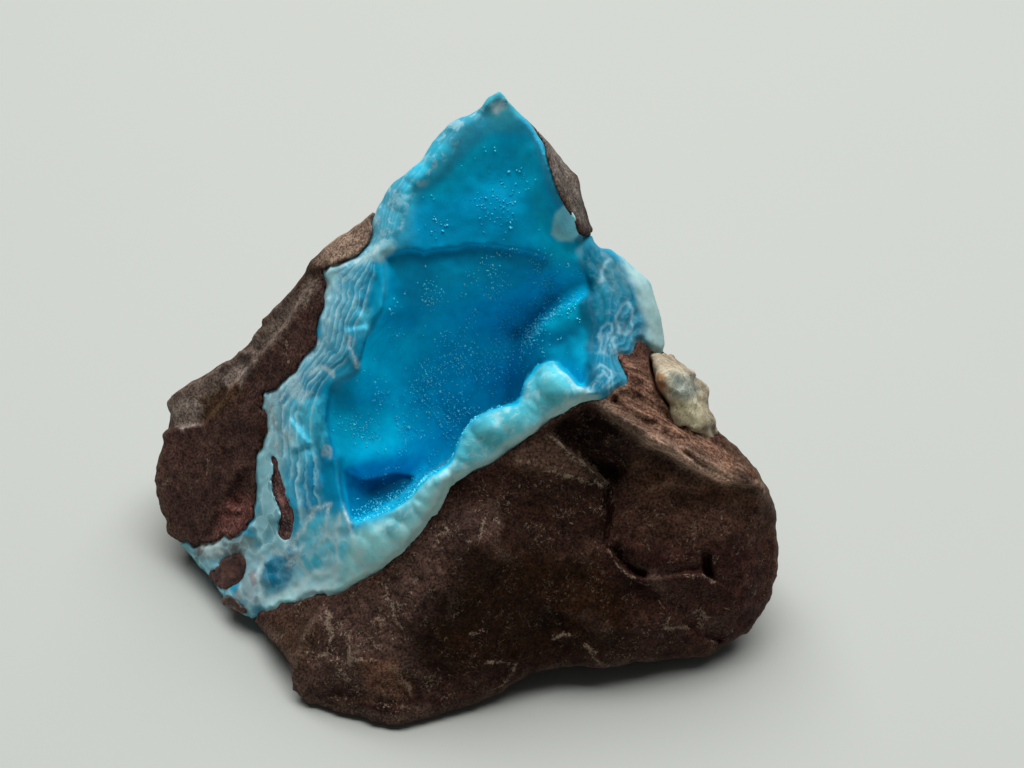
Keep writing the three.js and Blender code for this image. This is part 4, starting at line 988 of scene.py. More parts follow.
inside = GA[(contact_sd.v < 1.2)], GB[(contact_sd.v < 1.2)]
corner = np.concatenate([place(inside[0], inside[1], d) for d in (-22.0, 0.0, 24.0)])
clo, chi = np.maximum(corner.min(0), LO), np.minimum(corner.max(0), HI)


def crust_parts(P):
    a, b, d = unplace(P)
    near = 1 - smooth01(d - seen(a, b), 3.0, 7.0)
    o = bed(P, a, b, d)
    i = vug(P, a, b, d)
    e = outer(P, a, b, d) + crust_front(a, b) * near + 0.5 * smooth01(o, -0.7, 0.1)
    return a, b, d, e, i, o


def crust_at(P):
    a, b, d, e, i, o = crust_parts(P)
    f = smax(e, -i, round_rim(a, b))
    f = np.maximum(f, o - 0.35)
    for q in prisms.values():
        f = np.maximum(f, -(q(P, a, b, d) + 0.12))
    return f


crust_block = Block(clo, chi, H_CRUST)
crust_pts, crust_quad, crust_tri = biggest(*crust_block.mesh(crust_block.fill(crust_at)))
lap("crust mesh %d" % len(crust_quad))
a_, b_, d_ = unplace(crust_pts)
away = np.maximum(smooth01(bed(crust_pts, a_, b_, d_), -0.3, 0.25), 0.6 * smooth01(d_ - seen(a_, b_), 12.0, 20.0))
crust_pts, crust_quad, crust_tri = thin(crust_pts, crust_quad, crust_tri, away, 194000)
lap("crust thinned %d" % len(crust_tri))


# ------------------------------------------------------------------ materials
def nodes_for(name):
    m = bpy.data.materials.new(name)
    m.use_nodes = True
    t = m.node_tree
    t.nodes.clear()
    out = t.nodes.new("ShaderNodeOutputMaterial")
    bsdf = t.nodes.new("ShaderNodeBsdfPrincipled")
    t.links.new(bsdf.outputs[0], out.inputs[0])
    return m, t, bsdf


class Tree:
    """short names for the nodes used here"""
    def __init__(self, t):
        self.t = t
        self.co = t.nodes.new("ShaderNodeTexCoord").outputs["Object"]

    def node(self, kind, **sockets):
        n = self.t.nodes.new(kind)
        for k, v in sockets.items():
            if k.startswith("p_"):
                setattr(n, k[2:], v)
        for k, v in sockets.items():
            if k.startswith("p_"):
                continue
            s = n.inputs[int(k[1:])] if k[0] == "i" and k[1:].isdigit() else n.inputs[k]
            if isinstance(v, bpy.types.NodeSocket):
                self.t.links.new(v, s)
            else:
                s.default_value = v
        return n

    def noise(self, size, detail=4.0, rough=0.55, at=None, distortion=0.0):
        """noise with features about size mm across"""
        return self.node("ShaderNodeTexNoise", i0=at or self.co, Scale=1000.0 / size, Detail=detail, Roughness=rough, Distortion=distortion).outputs[0]

    def edges(self, size, at=None):
        return self.node("ShaderNodeTexVoronoi", p_feature="DISTANCE_TO_EDGE", Vector=at or self.co, Scale=1000.0 / size).outputs["Distance"]

    def spots(self, size, at=None):
        return self.node("ShaderNodeTexVoronoi", Vector=at or self.co, Scale=1000.0 / size).outputs["Distance"]

    def math(self, op, a, b=0.0, c=0.0, clamp=False):
        return self.node("ShaderNodeMath", p_operation=op, p_use_clamp=clamp, i0=a, i1=b, i2=c).outputs[0]

    def span(self, v, lo, hi, out_lo=0.0, out_hi=1.0):
        n = self.node("ShaderNodeMapRange", p_interpolation_type="SMOOTHSTEP", i0=v, i1=lo, i2=hi, i3=out_lo, i4=out_hi)
        return n.outputs[0]

    def mix(self, fac, a, b, blend="MIX"):
        n = self.t.nodes.new("ShaderNodeMix")
        n.data_type = "RGBA"
        n.blend_type = blend
        for s, v in ((n.inputs[0], fac), (n.inputs[6], a), (n.inputs[7], b)):
            if isinstance(v, bpy.types.NodeSocket):
                self.t.links.new(v, s)
            elif s.type == "RGBA":
                s.default_value = (*[float(x) for x in v], 1.0)
            else:
                s.default_value = v
        return n.outputs[2]

    def ramp(self, fac, stops):
        n = self.node("ShaderNodeValToRGB", i0=fac)
        r = n.color_ramp
        while len(r.elements) < len(stops):
            r.elements.new(0.5)
        for e, (at, v) in zip(r.elements, stops):
            e.position = at
            e.color = (v, v, v, 1)
        return n.outputs[0]

    def attribute(self, name, colour=False):
        n = self.node("ShaderNodeAttribute", p_attribute_name=name)
        return n.outputs["Color" if colour else "Fac"]

    def moved(self, scale=(1, 1, 1), turn=(0, 0, 0), shift=(0, 0, 0), at=None):
        """turned about the origin, then divided by scale"""
        return self.node("ShaderNodeMapping", p_vector_type="TEXTURE", Vector=at or self.co, Location=shift, Rotation=turn, Scale=scale).outputs[0]

    def warped(self, amount, size):
        n = self.node("ShaderNodeTexNoise", i0=self.co, Scale=1000.0 / size, Detail=2.0)
        v = self.node("ShaderNodeVectorMath", p_operation="SUBTRACT", i0=n.outputs[1], i1=(0.5, 0.5, 0.5)).outputs[0]
        s = self.node("ShaderNodeVectorMath", p_operation="SCALE", i0=v)
        s.inputs["Scale"].default_value = amount * 0.001
        return self.node("ShaderNodeVectorMath", p_operation="ADD", i0=self.co, i1=s.outputs[0]).outputs[0]

    def small(self, amount, size):
        """a small wandering offset, amount in metres"""
        n = self.node("ShaderNodeTexNoise", i0=self.co, Scale=1000.0 / size, Detail=1.0)
        v = self.node("ShaderNodeVectorMath", p_operation="SUBTRACT", i0=n.outputs[1], i1=(0.5, 0.5, 0.5)).outputs[0]
        s = self.node("ShaderNodeVectorMath", p_operation="SCALE", i0=v)
        s.inputs["Scale"].default_value = amount
        return s.outputs[0]

    def bump(self, height, strength, distance, normal=None):
        n = self.node("ShaderNodeBump", Height=height, Strength=strength, Distance=distance * 0.001)
        if normal is not None:
            self.t.links.new(normal, n.inputs["Normal"])
        return n.outputs[0]

    def put(self, bsdf, name, v):
        if isinstance(v, bpy.types.NodeSocket):
            self.t.links.new(v, bsdf.inputs[name])
        elif isinstance(v, (tuple, list, np.ndarray)) and len(v) == 3 and bsdf.inputs[name].type == "RGBA":
            bsdf.inputs[name].default_value = (*[float(x) for x in v], 1.0)
        else:
            bsdf.inputs[name].default_value = v


def stone_material(name, pale, speck, rough=(0.52, 0.82), specular=0.07):
    m, t, bsdf = nodes_for(name)
    T = Tree(t)
    tint = T.attribute("tint", colour=True)
    wear = T.attribute("wear")
    dust = T.attribute("dust")
    flow = T.node("ShaderNodeAttribute", p_attribute_name="flow").outputs["Vector"]
    face = T.node("ShaderNodeAttribute", p_attribute_name="face").outputs["Vector"]
    bedded = T.attribute("bedded")
    n_big = T.noise(5.0, 4)
    n_mid = T.noise(1.1, 5, 0.6)
    n_fine = T.noise(0.30, 4, 0.65)
    c = T.mix(1.0, tint, T.mix(T.span(n_big, 0.32, 0.68), (0.76, 0.74, 0.74), (1.24, 1.22, 1.20)), "MULTIPLY")
    c = T.mix(1.0, c, T.mix(T.span(n_mid, 0.30, 0.70), (0.70, 0.67, 0.65), (1.34, 1.32, 1.30)), "MULTIPLY")
    c = T.mix(1.0, c, T.mix(T.span(n_fine, 0.36, 0.64), (0.42, 0.40, 0.39), (1.66, 1.63, 1.60)), "MULTIPLY")
    # curled hairline marks, clustered, with a few pale grains
    cluster = T.span(T.noise(2.6, 4, 0.6), 0.42, 0.62)
    curl = T.math("ABSOLUTE", T.math("SUBTRACT", T.noise(1.0, 2, 0.55, distortion=1.2), 0.5))
    curl = T.math("MULTIPLY", T.span(curl, 0.004, 0.022, 1.0, 0.0), T.span(T.noise(0.7, 2), 0.46, 0.60))
    grains = T.span(T.noise(0.42, 3, 0.6), 0.58, 0.70)
    specks = T.math("MULTIPLY", T.math("MAXIMUM", curl, grains), cluster)
    c = T.mix(T.math("MULTIPLY", specks, T.math("MULTIPLY_ADD", dust, 1.05, 0.10), clamp=True), c, speck)
    # short scratches lying in the broken face, in several directions
    scuffs = None
    for turn, shift, size in ((0.55, 0.0, 1.3), (0.75, 0.021, 0.9), (1.35, 0.013, 1.1), (2.2, 0.031, 1.2), (2.85, 0.047, 1.5)):
        v = T.moved(scale=(4.5, 1.0, 4.5), turn=(0.0, 0.0, turn), shift=(shift, shift, shift), at=face)
        v = T.node("ShaderNodeVectorMath", p_operation="ADD", i0=v, i1=T.small(0.00022, 0.9)).outputs[0]
        vor = T.node("ShaderNodeTexVoronoi", Vector=v, Scale=1000.0 / size)
        spot = T.span(vor.outputs["Distance"], 0.03, 0.085, 1.0, 0.0)
        pick = T.node("ShaderNodeSeparateColor", i0=vor.outputs["Color"]).outputs[0]
        spot = T.math("MULTIPLY", spot, T.math("MULTIPLY", T.math("GREATER_THAN", pick, 0.25), T.math("MULTIPLY_ADD", pick, 0.7, 0.3)))
        scuffs = spot if scuffs is None else T.math("MAXIMUM", scuffs, spot)
    scuffs = T.math("MULTIPLY", scuffs, T.span(T.noise(3.4, 3), 0.36, 0.60))
    scuffs = T.math("MULTIPLY", scuffs, T.span(n_fine, 0.36, 0.52, 0.3, 1.0))
    c = T.mix(T.math("MULTIPLY", scuffs, T.math("MULTIPLY_ADD", dust, 0.40, 0.50), clamp=True), c, speck)
    # bruises and streaks with crusty edges
    mark = T.math("MULTIPLY_ADD", T.math("SUBTRACT", T.noise(0.24, 3, 0.7), 0.5), 2.6, T.attribute("mark"))
    mark = T.math("MULTIPLY_ADD", T.math("SUBTRACT", T.noise(0.9, 2, 0.6), 0.5), 1.6, mark)
    mark = T.math("MULTIPLY", T.span(mark, 0.55, 1.05), T.span(T.attribute("mark"), 0.05, 0.5))
    c = T.mix(T.math("MULTIPLY", mark, 0.72), c, speck)
    # thin beds where the stone parts in flakes
    sheets = T.noise(0.42, 5, 0.6, at=flow)
    beds = T.mix(T.span(sheets, 0.36, 0.64), (0.50, 0.48, 0.46), (1.55, 1.52, 1.48))
    c = T.mix(T.math("MULTIPLY", bedded, 0.9), c, T.mix(1.0, c, beds, "MULTIPLY"))
    c = T.mix(T.math("MULTIPLY", T.math("MULTIPLY", bedded, T.span(sheets, 0.60, 0.66)), 0.5), c, speck)
    c = T.mix(T.math("MULTIPLY", wear, T.span(n_fine, 0.35, 0.65, 0.2, 1.0)), c, pale)
    T.put(bsdf, "Base Color", c)
    T.put(bsdf, "Roughness", T.span(n_mid, 0.3, 0.7, rough[1], rough[0]))
    T.put(bsdf, "Specular IOR Level", specular)
    h = T.math("ADD", T.math("MULTIPLY", n_mid, 0.4), T.math("MULTIPLY", n_fine, 0.5))
    h = T.math("ADD", h, T.math("MULTIPLY", T.math("MULTIPLY", sheets, bedded), 1.0))
    h = T.math("ADD", h, T.math("MULTIPLY", T.math("MAXIMUM", mark, T.math("MAXIMUM", specks, scuffs)), 0.25))
    T.put(bsdf, "Normal", T.bump(h, 0.9, 0.22))
    return m


def blue_material(name):
    m, t, bsdf = nodes_for(name)
    T = Tree(t)
    tint = T.attribute("tint", colour=True)
    band = T.attribute("band")
    banding = T.attribute("banding")
    blocky = T.attribute("blocky")
    milk = T.attribute("milk")
    n_big = T.noise(4.5, 3)
    n_mid = T.noise(1.0, 4, 0.6)
    n_fine = T.noise(0.28, 4, 0.6)
    c = T.mix(1.0, tint, T.mix(T.span(n_big, 0.3, 0.7), (0.90, 0.93, 0.94), (1.10, 1.07, 1.06)), "MULTIPLY")
    c = T.mix(1.0, c, T.mix(T.span(n_mid, 0.3, 0.7), (0.90, 0.93, 0.94), (1.10, 1.07, 1.06)), "MULTIPLY")
    white = rgb(206, 234, 238)
    # bands laid down one on another: each starts at a crisp pale edge and clears again, in shallow scallops
    billow = T.math("ABSOLUTE", T.math("SUBTRACT", T.noise(2.0, 2, 0.5), 0.5))
    p = T.math("ADD", band, T.math("MULTIPLY", billow, 0.18))
    p = T.math("ADD", p, T.math("MULTIPLY", T.math("SUBTRACT", T.noise(4.0, 2, 0.5), 0.5), 0.14))
    p = T.math("ADD", p, T.math("MULTIPLY", T.math("SUBTRACT", T.noise(0.8, 2, 0.5), 0.5), 0.03))
    line = T.ramp(p, ((0.0, 0.7), (0.06, 0.45), (0.08, 0.9), (0.13, 0.45), (0.17, 0.2), (0.19, 0.8), (0.23, 0.35), (0.28, 0.12), (0.30, 0.85), (0.34, 0.5), (0.40, 0.1), (0.42, 0.65), (0.46, 0.25),
                      (0.51, 0.05), (0.53, 0.9), (0.57, 0.4), (0.62, 0.05), (0.64, 0.5), (0.67, 0.12), (0.73, 0.0), (0.75, 0.6), (0.79, 0.1), (0.84, 0.0), (1.0, 0.0)))
    veil = T.math("MULTIPLY", T.span(p, 0.02, 0.40, 0.40, 0.0), T.span(T.noise(1.5, 3), 0.3, 0.65, 0.4, 1.0))
    c = T.mix(T.math("MULTIPLY", veil, banding), c, white)
    clear = T.math("MULTIPLY", T.span(T.noise(2.8, 3), 0.48, 0.62), T.math("MULTIPLY", banding, T.span(p, 0.25, 0.6, 0.0, 0.6)))
    c = T.mix(clear, c, rgb(0, 122, 160))
    strength = T.math("MULTIPLY", banding, T.span(T.noise(1.9, 4, 0.6), 0.34, 0.60, 0.38, 1.0))
    c = T.mix(T.math("MULTIPLY", line, strength), c, rgb(178, 234, 244))
    # cleaved blocks near the contact: some clear, some milky, with soft pale joints
    ice = rgb(172, 224, 234)
    where = T.warped(2.2, 2.4)
    lumps = T.node("ShaderNodeTexVoronoi", Vector=where, Scale=1000.0 / 2.3)
    shade = T.node("ShaderNodeSeparateColor", i0=lumps.outputs["Color"]).outputs[0]
    c = T.mix(T.math("MULTIPLY", T.span(shade, 0.10, 0.90, 0.0, 0.60), blocky), c, ice)
    joint = T.edges(2.3, at=where)
    c = T.mix(T.math("MULTIPLY", T.span(joint, 0.0, 0.25, 0.30, 0.0), blocky), c, ice)
    c = T.mix(T.math("MULTIPLY", T.math("MULTIPLY", T.span(joint, 0.0, 0.04, 0.5, 0.0), T.span(T.noise(1.3, 2), 0.42, 0.58)), blocky), c, white)
    clumps = T.math("MULTIPLY", T.span(T.noise(1.2, 3, 0.55), 0.54, 0.62), T.math("MULTIPLY", banding, T.span(p, 0.05, 0.55, 0.55, 0.0)))
    c = T.mix(clumps, c, white)
    c = T.mix(T.math("MULTIPLY", T.attribute("vein"), T.span(n_fine, 0.3, 0.6, 0.4, 1.0)), c, white)
    # milky clouds
    cloud = T.math("MULTIPLY", T.span(T.noise(1.2, 4, 0.6, distortion=0.6), 0.48, 0.68), milk)
    c = T.mix(T.math("MULTIPLY", cloud, 0.50), c, white)
    T.put(bsdf, "Base Color", c)
    T.put(bsdf, "Roughness", T.span(n_mid, 0.3, 0.7, 0.52, 0.34))
    T.put(bsdf, "Specular IOR Level", 0.05)
    T.put(bsdf, "Subsurface Weight", 0.18)
    bsdf.inputs["Subsurface Radius"].default_value = (0.35, 0.9, 1.0)
    T.put(bsdf, "Subsurface Scale", 0.0016)
    h = T.math("ADD", T.math("MULTIPLY", n_mid, 0.5), T.math("MULTIPLY", n_fine, 0.35))
    T.put(bsdf, "Normal", T.bump(h, 0.5, 0.10))
    return m


def crystal_material(name):
    m, t, bsdf = nodes_for(name)
    T = Tree(t)
    # the crystals' own pale blue, raised to a bright cyan as a painted glint that stands in for their sparkle
    c = T.mix(T.span(T.noise(1.2, 2), 0.35, 0.65), rgb(30, 224, 252), rgb(120, 242, 255))
    T.put(bsdf, "Base Color", c)
    T.put(bsdf, "Roughness", T.span(T.noise(0.5, 2), 0.3, 0.7, 0.2, 0.4))
    T.put(bsdf, "Specular IOR Level", 0.10)
    return m


def pale_material(name):
    m, t, bsdf = nodes_for(name)
    T = Tree(t)
    tint = T.attribute("tint", colour=True)
    n_mid = T.noise(1.0, 5, 0.6)
    n_fine = T.noise(0.3, 3, 0.6)
    c = T.mix(1.0, tint, T.mix(T.span(n_mid, 0.3, 0.7), (0.66, 0.65, 0.62), (1.28, 1.28, 1.28)), "MULTIPLY")
    vein = T.span(T.edges(1.3, at=T.warped(0.8, 1.0)), 0.01, 0.08, 1.0, 0.0)
    c = T.mix(T.math("MULTIPLY", vein, 0.35), c, rgb(196, 190, 168))
    c = T.mix(T.math("MULTIPLY", T.span(n_fine, 0.54, 0.66), 0.55), c, rgb(92, 72, 52))
    T.put(bsdf, "Base Color", c)
    T.put(bsdf, "Roughness", T.span(n_mid, 0.3, 0.7, 0.6, 0.4))
    T.put(bsdf, "Specular IOR Level", 0.12)
    T.put(bsdf, "Subsurface Weight", 0.15)
    bsdf.inputs["Subsurface Radius"].default_value = (1.0, 0.9, 0.7)
    T.put(bsdf, "Subsurface Scale", 0.0012)
    T.put(bsdf, "Normal", T.bump(T.math("ADD", n_mid, T.math("MULTIPLY", n_fine, 0.4)), 0.7, 0.14))
    return m


def granular_material(name):
    m, t, bsdf = nodes_for(name)
    T = Tree(t)
    tint = T.attribute("tint", colour=True)
    n_mid = T.noise(0.8, 4, 0.6)
    n_fine = T.noise(0.25, 3, 0.6)
    c = T.mix(1.0, tint, T.mix(T.span(n_mid, 0.3, 0.7), (0.6, 0.58, 0.58), (1.4, 1.4, 1.4)), "MULTIPLY")
    c = T.mix(T.math("MULTIPLY", T.span(n_fine, 0.54, 0.68), T.attribute("dust")), c, rgb(168, 128, 118))
    T.put(bsdf, "Base Color", c)
    T.put(bsdf, "Roughness", T.span(n_mid, 0.3, 0.7, 0.7, 0.45))
    T.put(bsdf, "Specular IOR Level", 0.35)
    T.put(bsdf, "Normal", T.bump(T.math("ADD", n_mid, n_fine), 0.8, 0.15))
    return m


stone = stone_material("ironstone", rgb(112, 94, 82), rgb(156, 136, 116))
blue = blue_material("hemimorphite")
pale = pale_material("pale_mineral")
grit = granular_material("clast_stone")
crystals_painted_glint = crystal_material("hemimorphite_crystals_painted_glint")


# ------------------------------------------------------------------ the rock's colours, with painted light and shade in places
P = rock_pts
a, bb, d = unplace(P)
N = normals_of(P, rock_quad, rock_tri)
front = 1 - smooth01(d - seen(a, bb), 1.5, 3.5)


wa = a + 0.30 * value_noise(P, 1.5, 305) + 0.18 * value_noise(P, 0.6, 306)
wb = bb + 0.30 * value_noise(P, 1.5, 307) + 0.18 * value_noise(P, 0.6, 308)


def drawn(values):
    return Sheet(values)(wa, wb) * front


base = rgb(56, 36, 31)
tint = np.tile(base, (len(P), 1))
big = fractal(P, 9.0, 301, 3)
mid = fractal(P, 3.0, 302, 3)
tint = paint(tint, smooth01(big, 0.0, 0.5), rgb(72, 53, 44), 0.6)
tint = paint(tint, smooth01(-big, 0.0, 0.5), rgb(44, 27, 22), 0.6)
tint = paint(tint, smooth01(mid, 0.15, 0.5), rgb(84, 58, 46), 0.35)
tint = paint(tint, smooth01(fractal(P, 6.0, 303, 3), 0.2, 0.5), rgb(92, 70, 50), 0.3)
# near block
tint = paint(tint, drawn(area([(432, 596), (466, 556), (530, 545), (604, 560), (640, 590), (622, 648), (520, 664), (452, 676), (412, 640)], 5.0)), rgb(36, 19, 7), 0.92)
tint = paint(tint, drawn(area([(452, 500), (500, 466), (548, 474), (608, 486), (604, 545), (500, 540), (470, 530)], 2.0)), rgb(46, 28, 22), 0.85)
tint = paint(tint, drawn(area([(500, 462), (530, 445), (546, 432), (576, 456), (612, 485), (598, 484), (576, 478), (550, 474)], 0.8)), rgb(80, 62, 52), 0.85)
tint = paint(tint, drawn(area([(620, 496), (664, 484), (706, 490), (712, 524), (690, 560), (640, 552), (618, 536)], 3.5)), rgb(70, 50, 40), 0.75)
for line in ([(640, 436), (660, 443), (676, 453)], [(618, 402), (640, 412), (662, 426)], [(656, 416), (678, 434), (702, 448)], [(682, 446), (704, 462), (732, 474)], [(628, 414), (636, 416), (644, 415)]):
    tint = paint(tint, drawn(stroke(line, 0.22)), rgb(160, 136, 122), 0.7)
for line in ([(638, 419), (648, 424), (656, 424)], [(664, 434), (678, 446), (690, 455), (704, 466)], [(655, 404), (672, 420), (694, 436)], [(704, 466), (722, 476), (744, 484)]):
    tint = paint(tint, drawn(stroke(line, 0.22)), rgb(30, 18, 16), 0.8)
fan_marks = smooth01(np.abs(sheet_noise(0.8, 121, 2, turn=33, stretch=5.0)), 0.0, 0.16)
tint = paint(tint, drawn((1 - fan_marks) * area([(616, 490), (660, 476), (704, 482), (716, 520), (700, 556), (650, 556), (618, 540)], 2.5)), rgb(112, 90, 76), 0.85)
tint = paint(tint, drawn(area([(656, 582), (702, 578), (730, 590), (736, 636), (706, 632), (676, 606)], 1.5)), rgb(80, 60, 48), 0.7)
# painted shade: a near-black strip down the shaded side of the upright groove under the ridge's corner
tint = paint(tint, drawn(area([(605, 488), (612, 486), (612, 520), (606, 546), (602, 542), (606, 515)], 0.5)), rgb(26, 14, 10), 0.8)
# painted shade: the broken-back hollow under the upper edge is painted near black where it lies in shadow
tint = paint(tint, drawn(area([(556, 434), (588, 408), (630, 430), (690, 470), (694, 486), (620, 486)], 3.0)), rgb(24, 9, 9), 0.95)
tint = paint(tint, drawn(area([(640, 470), (700, 476), (765, 492), (778, 560), (770, 640), (700, 648), (640, 600), (612, 560), (614, 490)], 5.0)), rgb(56, 33, 29), 0.9)
tint = paint(tint, drawn(area([(250, 622), (300, 600), (335, 598), (378, 580), (430, 522), (462, 505), (500, 520), (468, 556), (438, 596), (412, 640), (440, 700), (400, 730), (290, 715), (285, 660)], 3.5)), rgb(66, 50, 45), 0.85)
tint = paint(tint, drawn(area([(262, 616), (312, 604), (322, 640), (300, 668), (285, 650)], 2.0)), rgb(64, 47, 36), 0.85)
tint = paint(tint, drawn(area([(362, 660), (392, 664), (414, 688), (396, 698), (368, 684)], 2.0)), rgb(88, 56, 38), 0.7)
tint = paint(tint, drawn(area([(330, 690), (440, 694), (470, 712), (380, 728), (318, 712)], 2.0)), rgb(44, 24, 20), 0.8)
tint = paint(tint, drawn(area([(588, 396), (604, 396), (652, 434), (692, 456), (730, 478), (768, 484), (770, 494), (724, 487), (686, 467), (646, 446), (612, 422)], 1.0)), rgb(122, 102, 90), 0.95)
tint = paint(tint, drawn(area([(606, 394), (634, 362), (655, 380), (702, 436), (748, 468), (728, 478), (690, 458), (650, 434)], 1.0)), rgb(112, 86, 72), 0.95)
tint = paint(tint, drawn(area([(612, 360), (622, 352), (640, 376), (646, 396), (632, 392)], 0.6) + area([(637, 336), (643, 352), (652, 362), (648, 374), (638, 358)], 0.5)), rgb(92, 66, 56), 0.9)
# left face
left_face = area([(154, 505), (166, 410), (250, 345), (250, 336), (316, 270), (330, 288), (318, 345), (262, 400), (256, 480), (236, 505), (222, 535), (180, 548)], 1.0)
tint = paint(tint, drawn(left_face), rgb(66, 47, 43), 0.95)
tint = paint(tint, drawn(area([(164, 402), (250, 342), (250, 372), (214, 398), (192, 424), (170, 424)], 1.0)), rgb(104, 93, 87), 0.95)
# the upper bevel strip and the pale patches on the lower one are paler stone, painted paler still as painted light
# where they face away from the light
tint = paint(tint, drawn(area([(250, 336), (312, 276), (320, 282), (272, 346), (252, 364)], 1.0)), rgb(122, 110, 102), 0.92)
tint = paint(tint, drawn(area([(168, 404), (190, 398), (204, 408), (202, 424), (182, 430), (168, 420)], 0.6) + area([(222, 372), (240, 362), (250, 372), (240, 388), (226, 386)], 0.6)), rgb(156, 144, 138), 0.85)
tint = paint(tint, drawn(area([(198, 400), (238, 378), (244, 392), (212, 424), (196, 424)], 1.5)), rgb(70, 52, 36), 0.8)
tint = paint(tint, drawn(area([(216, 535), (224, 502), (246, 490), (256, 505), (250, 540), (226, 548)], 1.0)), rgb(108, 70, 66), 0.75)
tint = paint(tint, drawn(area([(310, 268), (322, 246), (370, 208), (380, 218), (368, 246), (350, 258), (322, 264)], 0.8)), rgb(138, 120, 106), 0.9)
tint = paint(tint, drawn(area([(534, 120), (556, 134), (582, 190), (590, 236), (572, 216), (552, 172)], 1.0)), rgb(104, 100, 96), 0.85)
dust = 0.35 + 0.35 * smooth01(fractal(P, 5.0, 304, 3), -0.1, 0.4)
dust = lerp(dust, 0.95, drawn(area([(300, 600), (378, 580), (430, 522), (470, 505), (500, 520), (440, 596), (420, 650), (450, 700), (400, 725), (320, 700), (300, 660)], 3.0)))
dust = lerp(dust, 0.10, drawn(left_face))
dust = lerp(dust, 1.0, drawn(area([(214, 540), (222, 498), (250, 488), (260, 508), (252, 544), (224, 552)], 1.0)))
dust = lerp(dust, 0.25, drawn(area([(432, 596), (466, 556), (530, 545), (604, 560), (640, 590), (622, 648), (520, 664), (452, 676), (412, 640)], 5.0)))
marks = np.zeros_like(GA)
for line, w in (([(325, 606), (330, 622), (329, 640)], 0.40), ([(488, 511), (484, 524), (478, 536)], 0.12), ([(356, 662), (380, 663), (398, 676), (412, 692)], 0.22),
                ([(372, 573), (386, 594), (402, 628)], 0.10), ([(484, 664), (500, 661), (514, 664)], 0.2), ([(516, 664), (506, 680), (496, 692)], 0.18), ([(553, 636), (563, 634), (575, 635)], 0.3),
                ([(584, 645), (594, 653), (610, 669)], 0.22), ([(668, 628), (678, 624), (686, 627)], 0.3), ([(700, 612), (706, 618), (700, 624)], 0.4), ([(674, 503), (672, 508)], 0.15),
                ([(720, 512), (721, 520)], 0.15), ([(609, 549), (620, 567), (634, 579), (650, 582)], 0.12), ([(676, 575), (700, 577), (716, 583)], 0.2), ([(552, 436), (572, 454), (592, 468), (610, 484)], 0.55),
                ([(612, 486), (612, 505)], 0.10), ([(466, 540), (471, 542)], 0.25), ([(494, 519), (499, 522)], 0.2), ([(481, 579), (487, 574)], 0.15), ([(288, 338), (287, 364)], 0.10), ([(310, 290), (301, 312)], 0.12),
                ([(168, 484), (174, 478)], 0.25), ([(208, 476), (206, 462)], 0.2), ([(340, 622), (348, 640), (352, 668)], 0.25), ([(380, 604), (384, 628)], 0.25),
                ([(546, 472), (566, 476), (590, 482), (606, 486)], 0.25), ([(380, 588), (396, 620)], 0.08), ([(318, 656), (330, 650)], 0.3), ([(600, 415), (612, 424)], 0.2), ([(640, 436), (650, 444)], 0.25),
                ([(438, 536), (446, 528)], 0.2), ([(452, 618), (462, 610)], 0.2), ([(470, 634), (482, 630)], 0.2), ([(372, 640), (380, 648)], 0.25), ([(338, 672), (350, 684)], 0.25)):
    marks = np.maximum(marks, 0.9 * stroke(line, w + 0.12))
mark = drawn(marks)
ends = np.array(px([(612, 398), (735, 466)]))
ends = place(ends[:, 0], ends[:, 1], seen(ends[:, 0], ends[:, 1]))
along = (ends[1] - ends[0]) / np.linalg.norm(ends[1] - ends[0])
side = np.cross(along, UP)
side /= np.linalg.norm(side)
flow = np.stack([P @ along * 0.13, P @ side, P @ np.cross(along, side)], 1) * MM
bedded = drawn(area([(600, 392), (632, 363), (655, 380), (702, 436), (748, 468), (772, 494), (735, 488), (700, 466), (650, 441), (612, 412)], 1.0))
bedded = np.maximum(bedded, 0.35 * smooth01(fractal(P, 9.0, 309, 2), 0.1, 0.4) * (1 - front))
tint = paint(tint, drawn(stroke([(648, 438), (676, 455), (706, 471), (726, 482)], 0.8)), rgb(206, 176, 156), 0.85)
tint = paint(tint, drawn(area([(606, 392), (640, 410), (666, 430), (650, 436), (616, 412)], 1.0)), rgb(70, 50, 40), 0.6)
# painted light: the shaded underside of the ridge, and less so the face below it, are painted a lighter brown to make
# up for light they do not get
tint = paint(tint, drawn(area([(640, 500), (700, 503), (764, 504), (772, 530), (700, 540), (640, 540), (624, 510)], 3.5)), rgb(74, 53, 43), 0.75)
tint = paint(tint, drawn(area([(636, 458), (664, 468), (700, 480), (740, 488), (764, 497), (756, 503), (700, 500), (640, 496), (624, 476)], 2.5)), rgb(116, 87, 71), 0.8)
tint = paint(tint, drawn(area([(440, 545), (480, 540), (486, 580), (446, 592)], 2.0)), rgb(36, 22, 16), 0.65)
tint = paint(tint, drawn(area([(364, 664), (396, 664), (402, 700), (366, 700)], 1.5)), rgb(112, 84, 70), 0.5)
# pale wear on the rounded edges, and painted shade darkening the hollows of the broken surface
wear = smooth01(rock_wear_and_hollow_shade, 0.05, 0.20) * 0.45
tint = tint * (1 - 0.35 * smooth01(-rock_wear_and_hollow_shade, 0.05, 0.18))[:, None]
rock = mesh_piece("ironstone_matrix", P, rock_quad, rock_tri, stone, {"tint": tint, "dust": dust, "wear": wear, "flow": flow, "face": np.stack([a, bb, d], 1) * MM, "mark": mark, "bedded": bedded}, replaces=("host_rock",))
lap("rock piece")
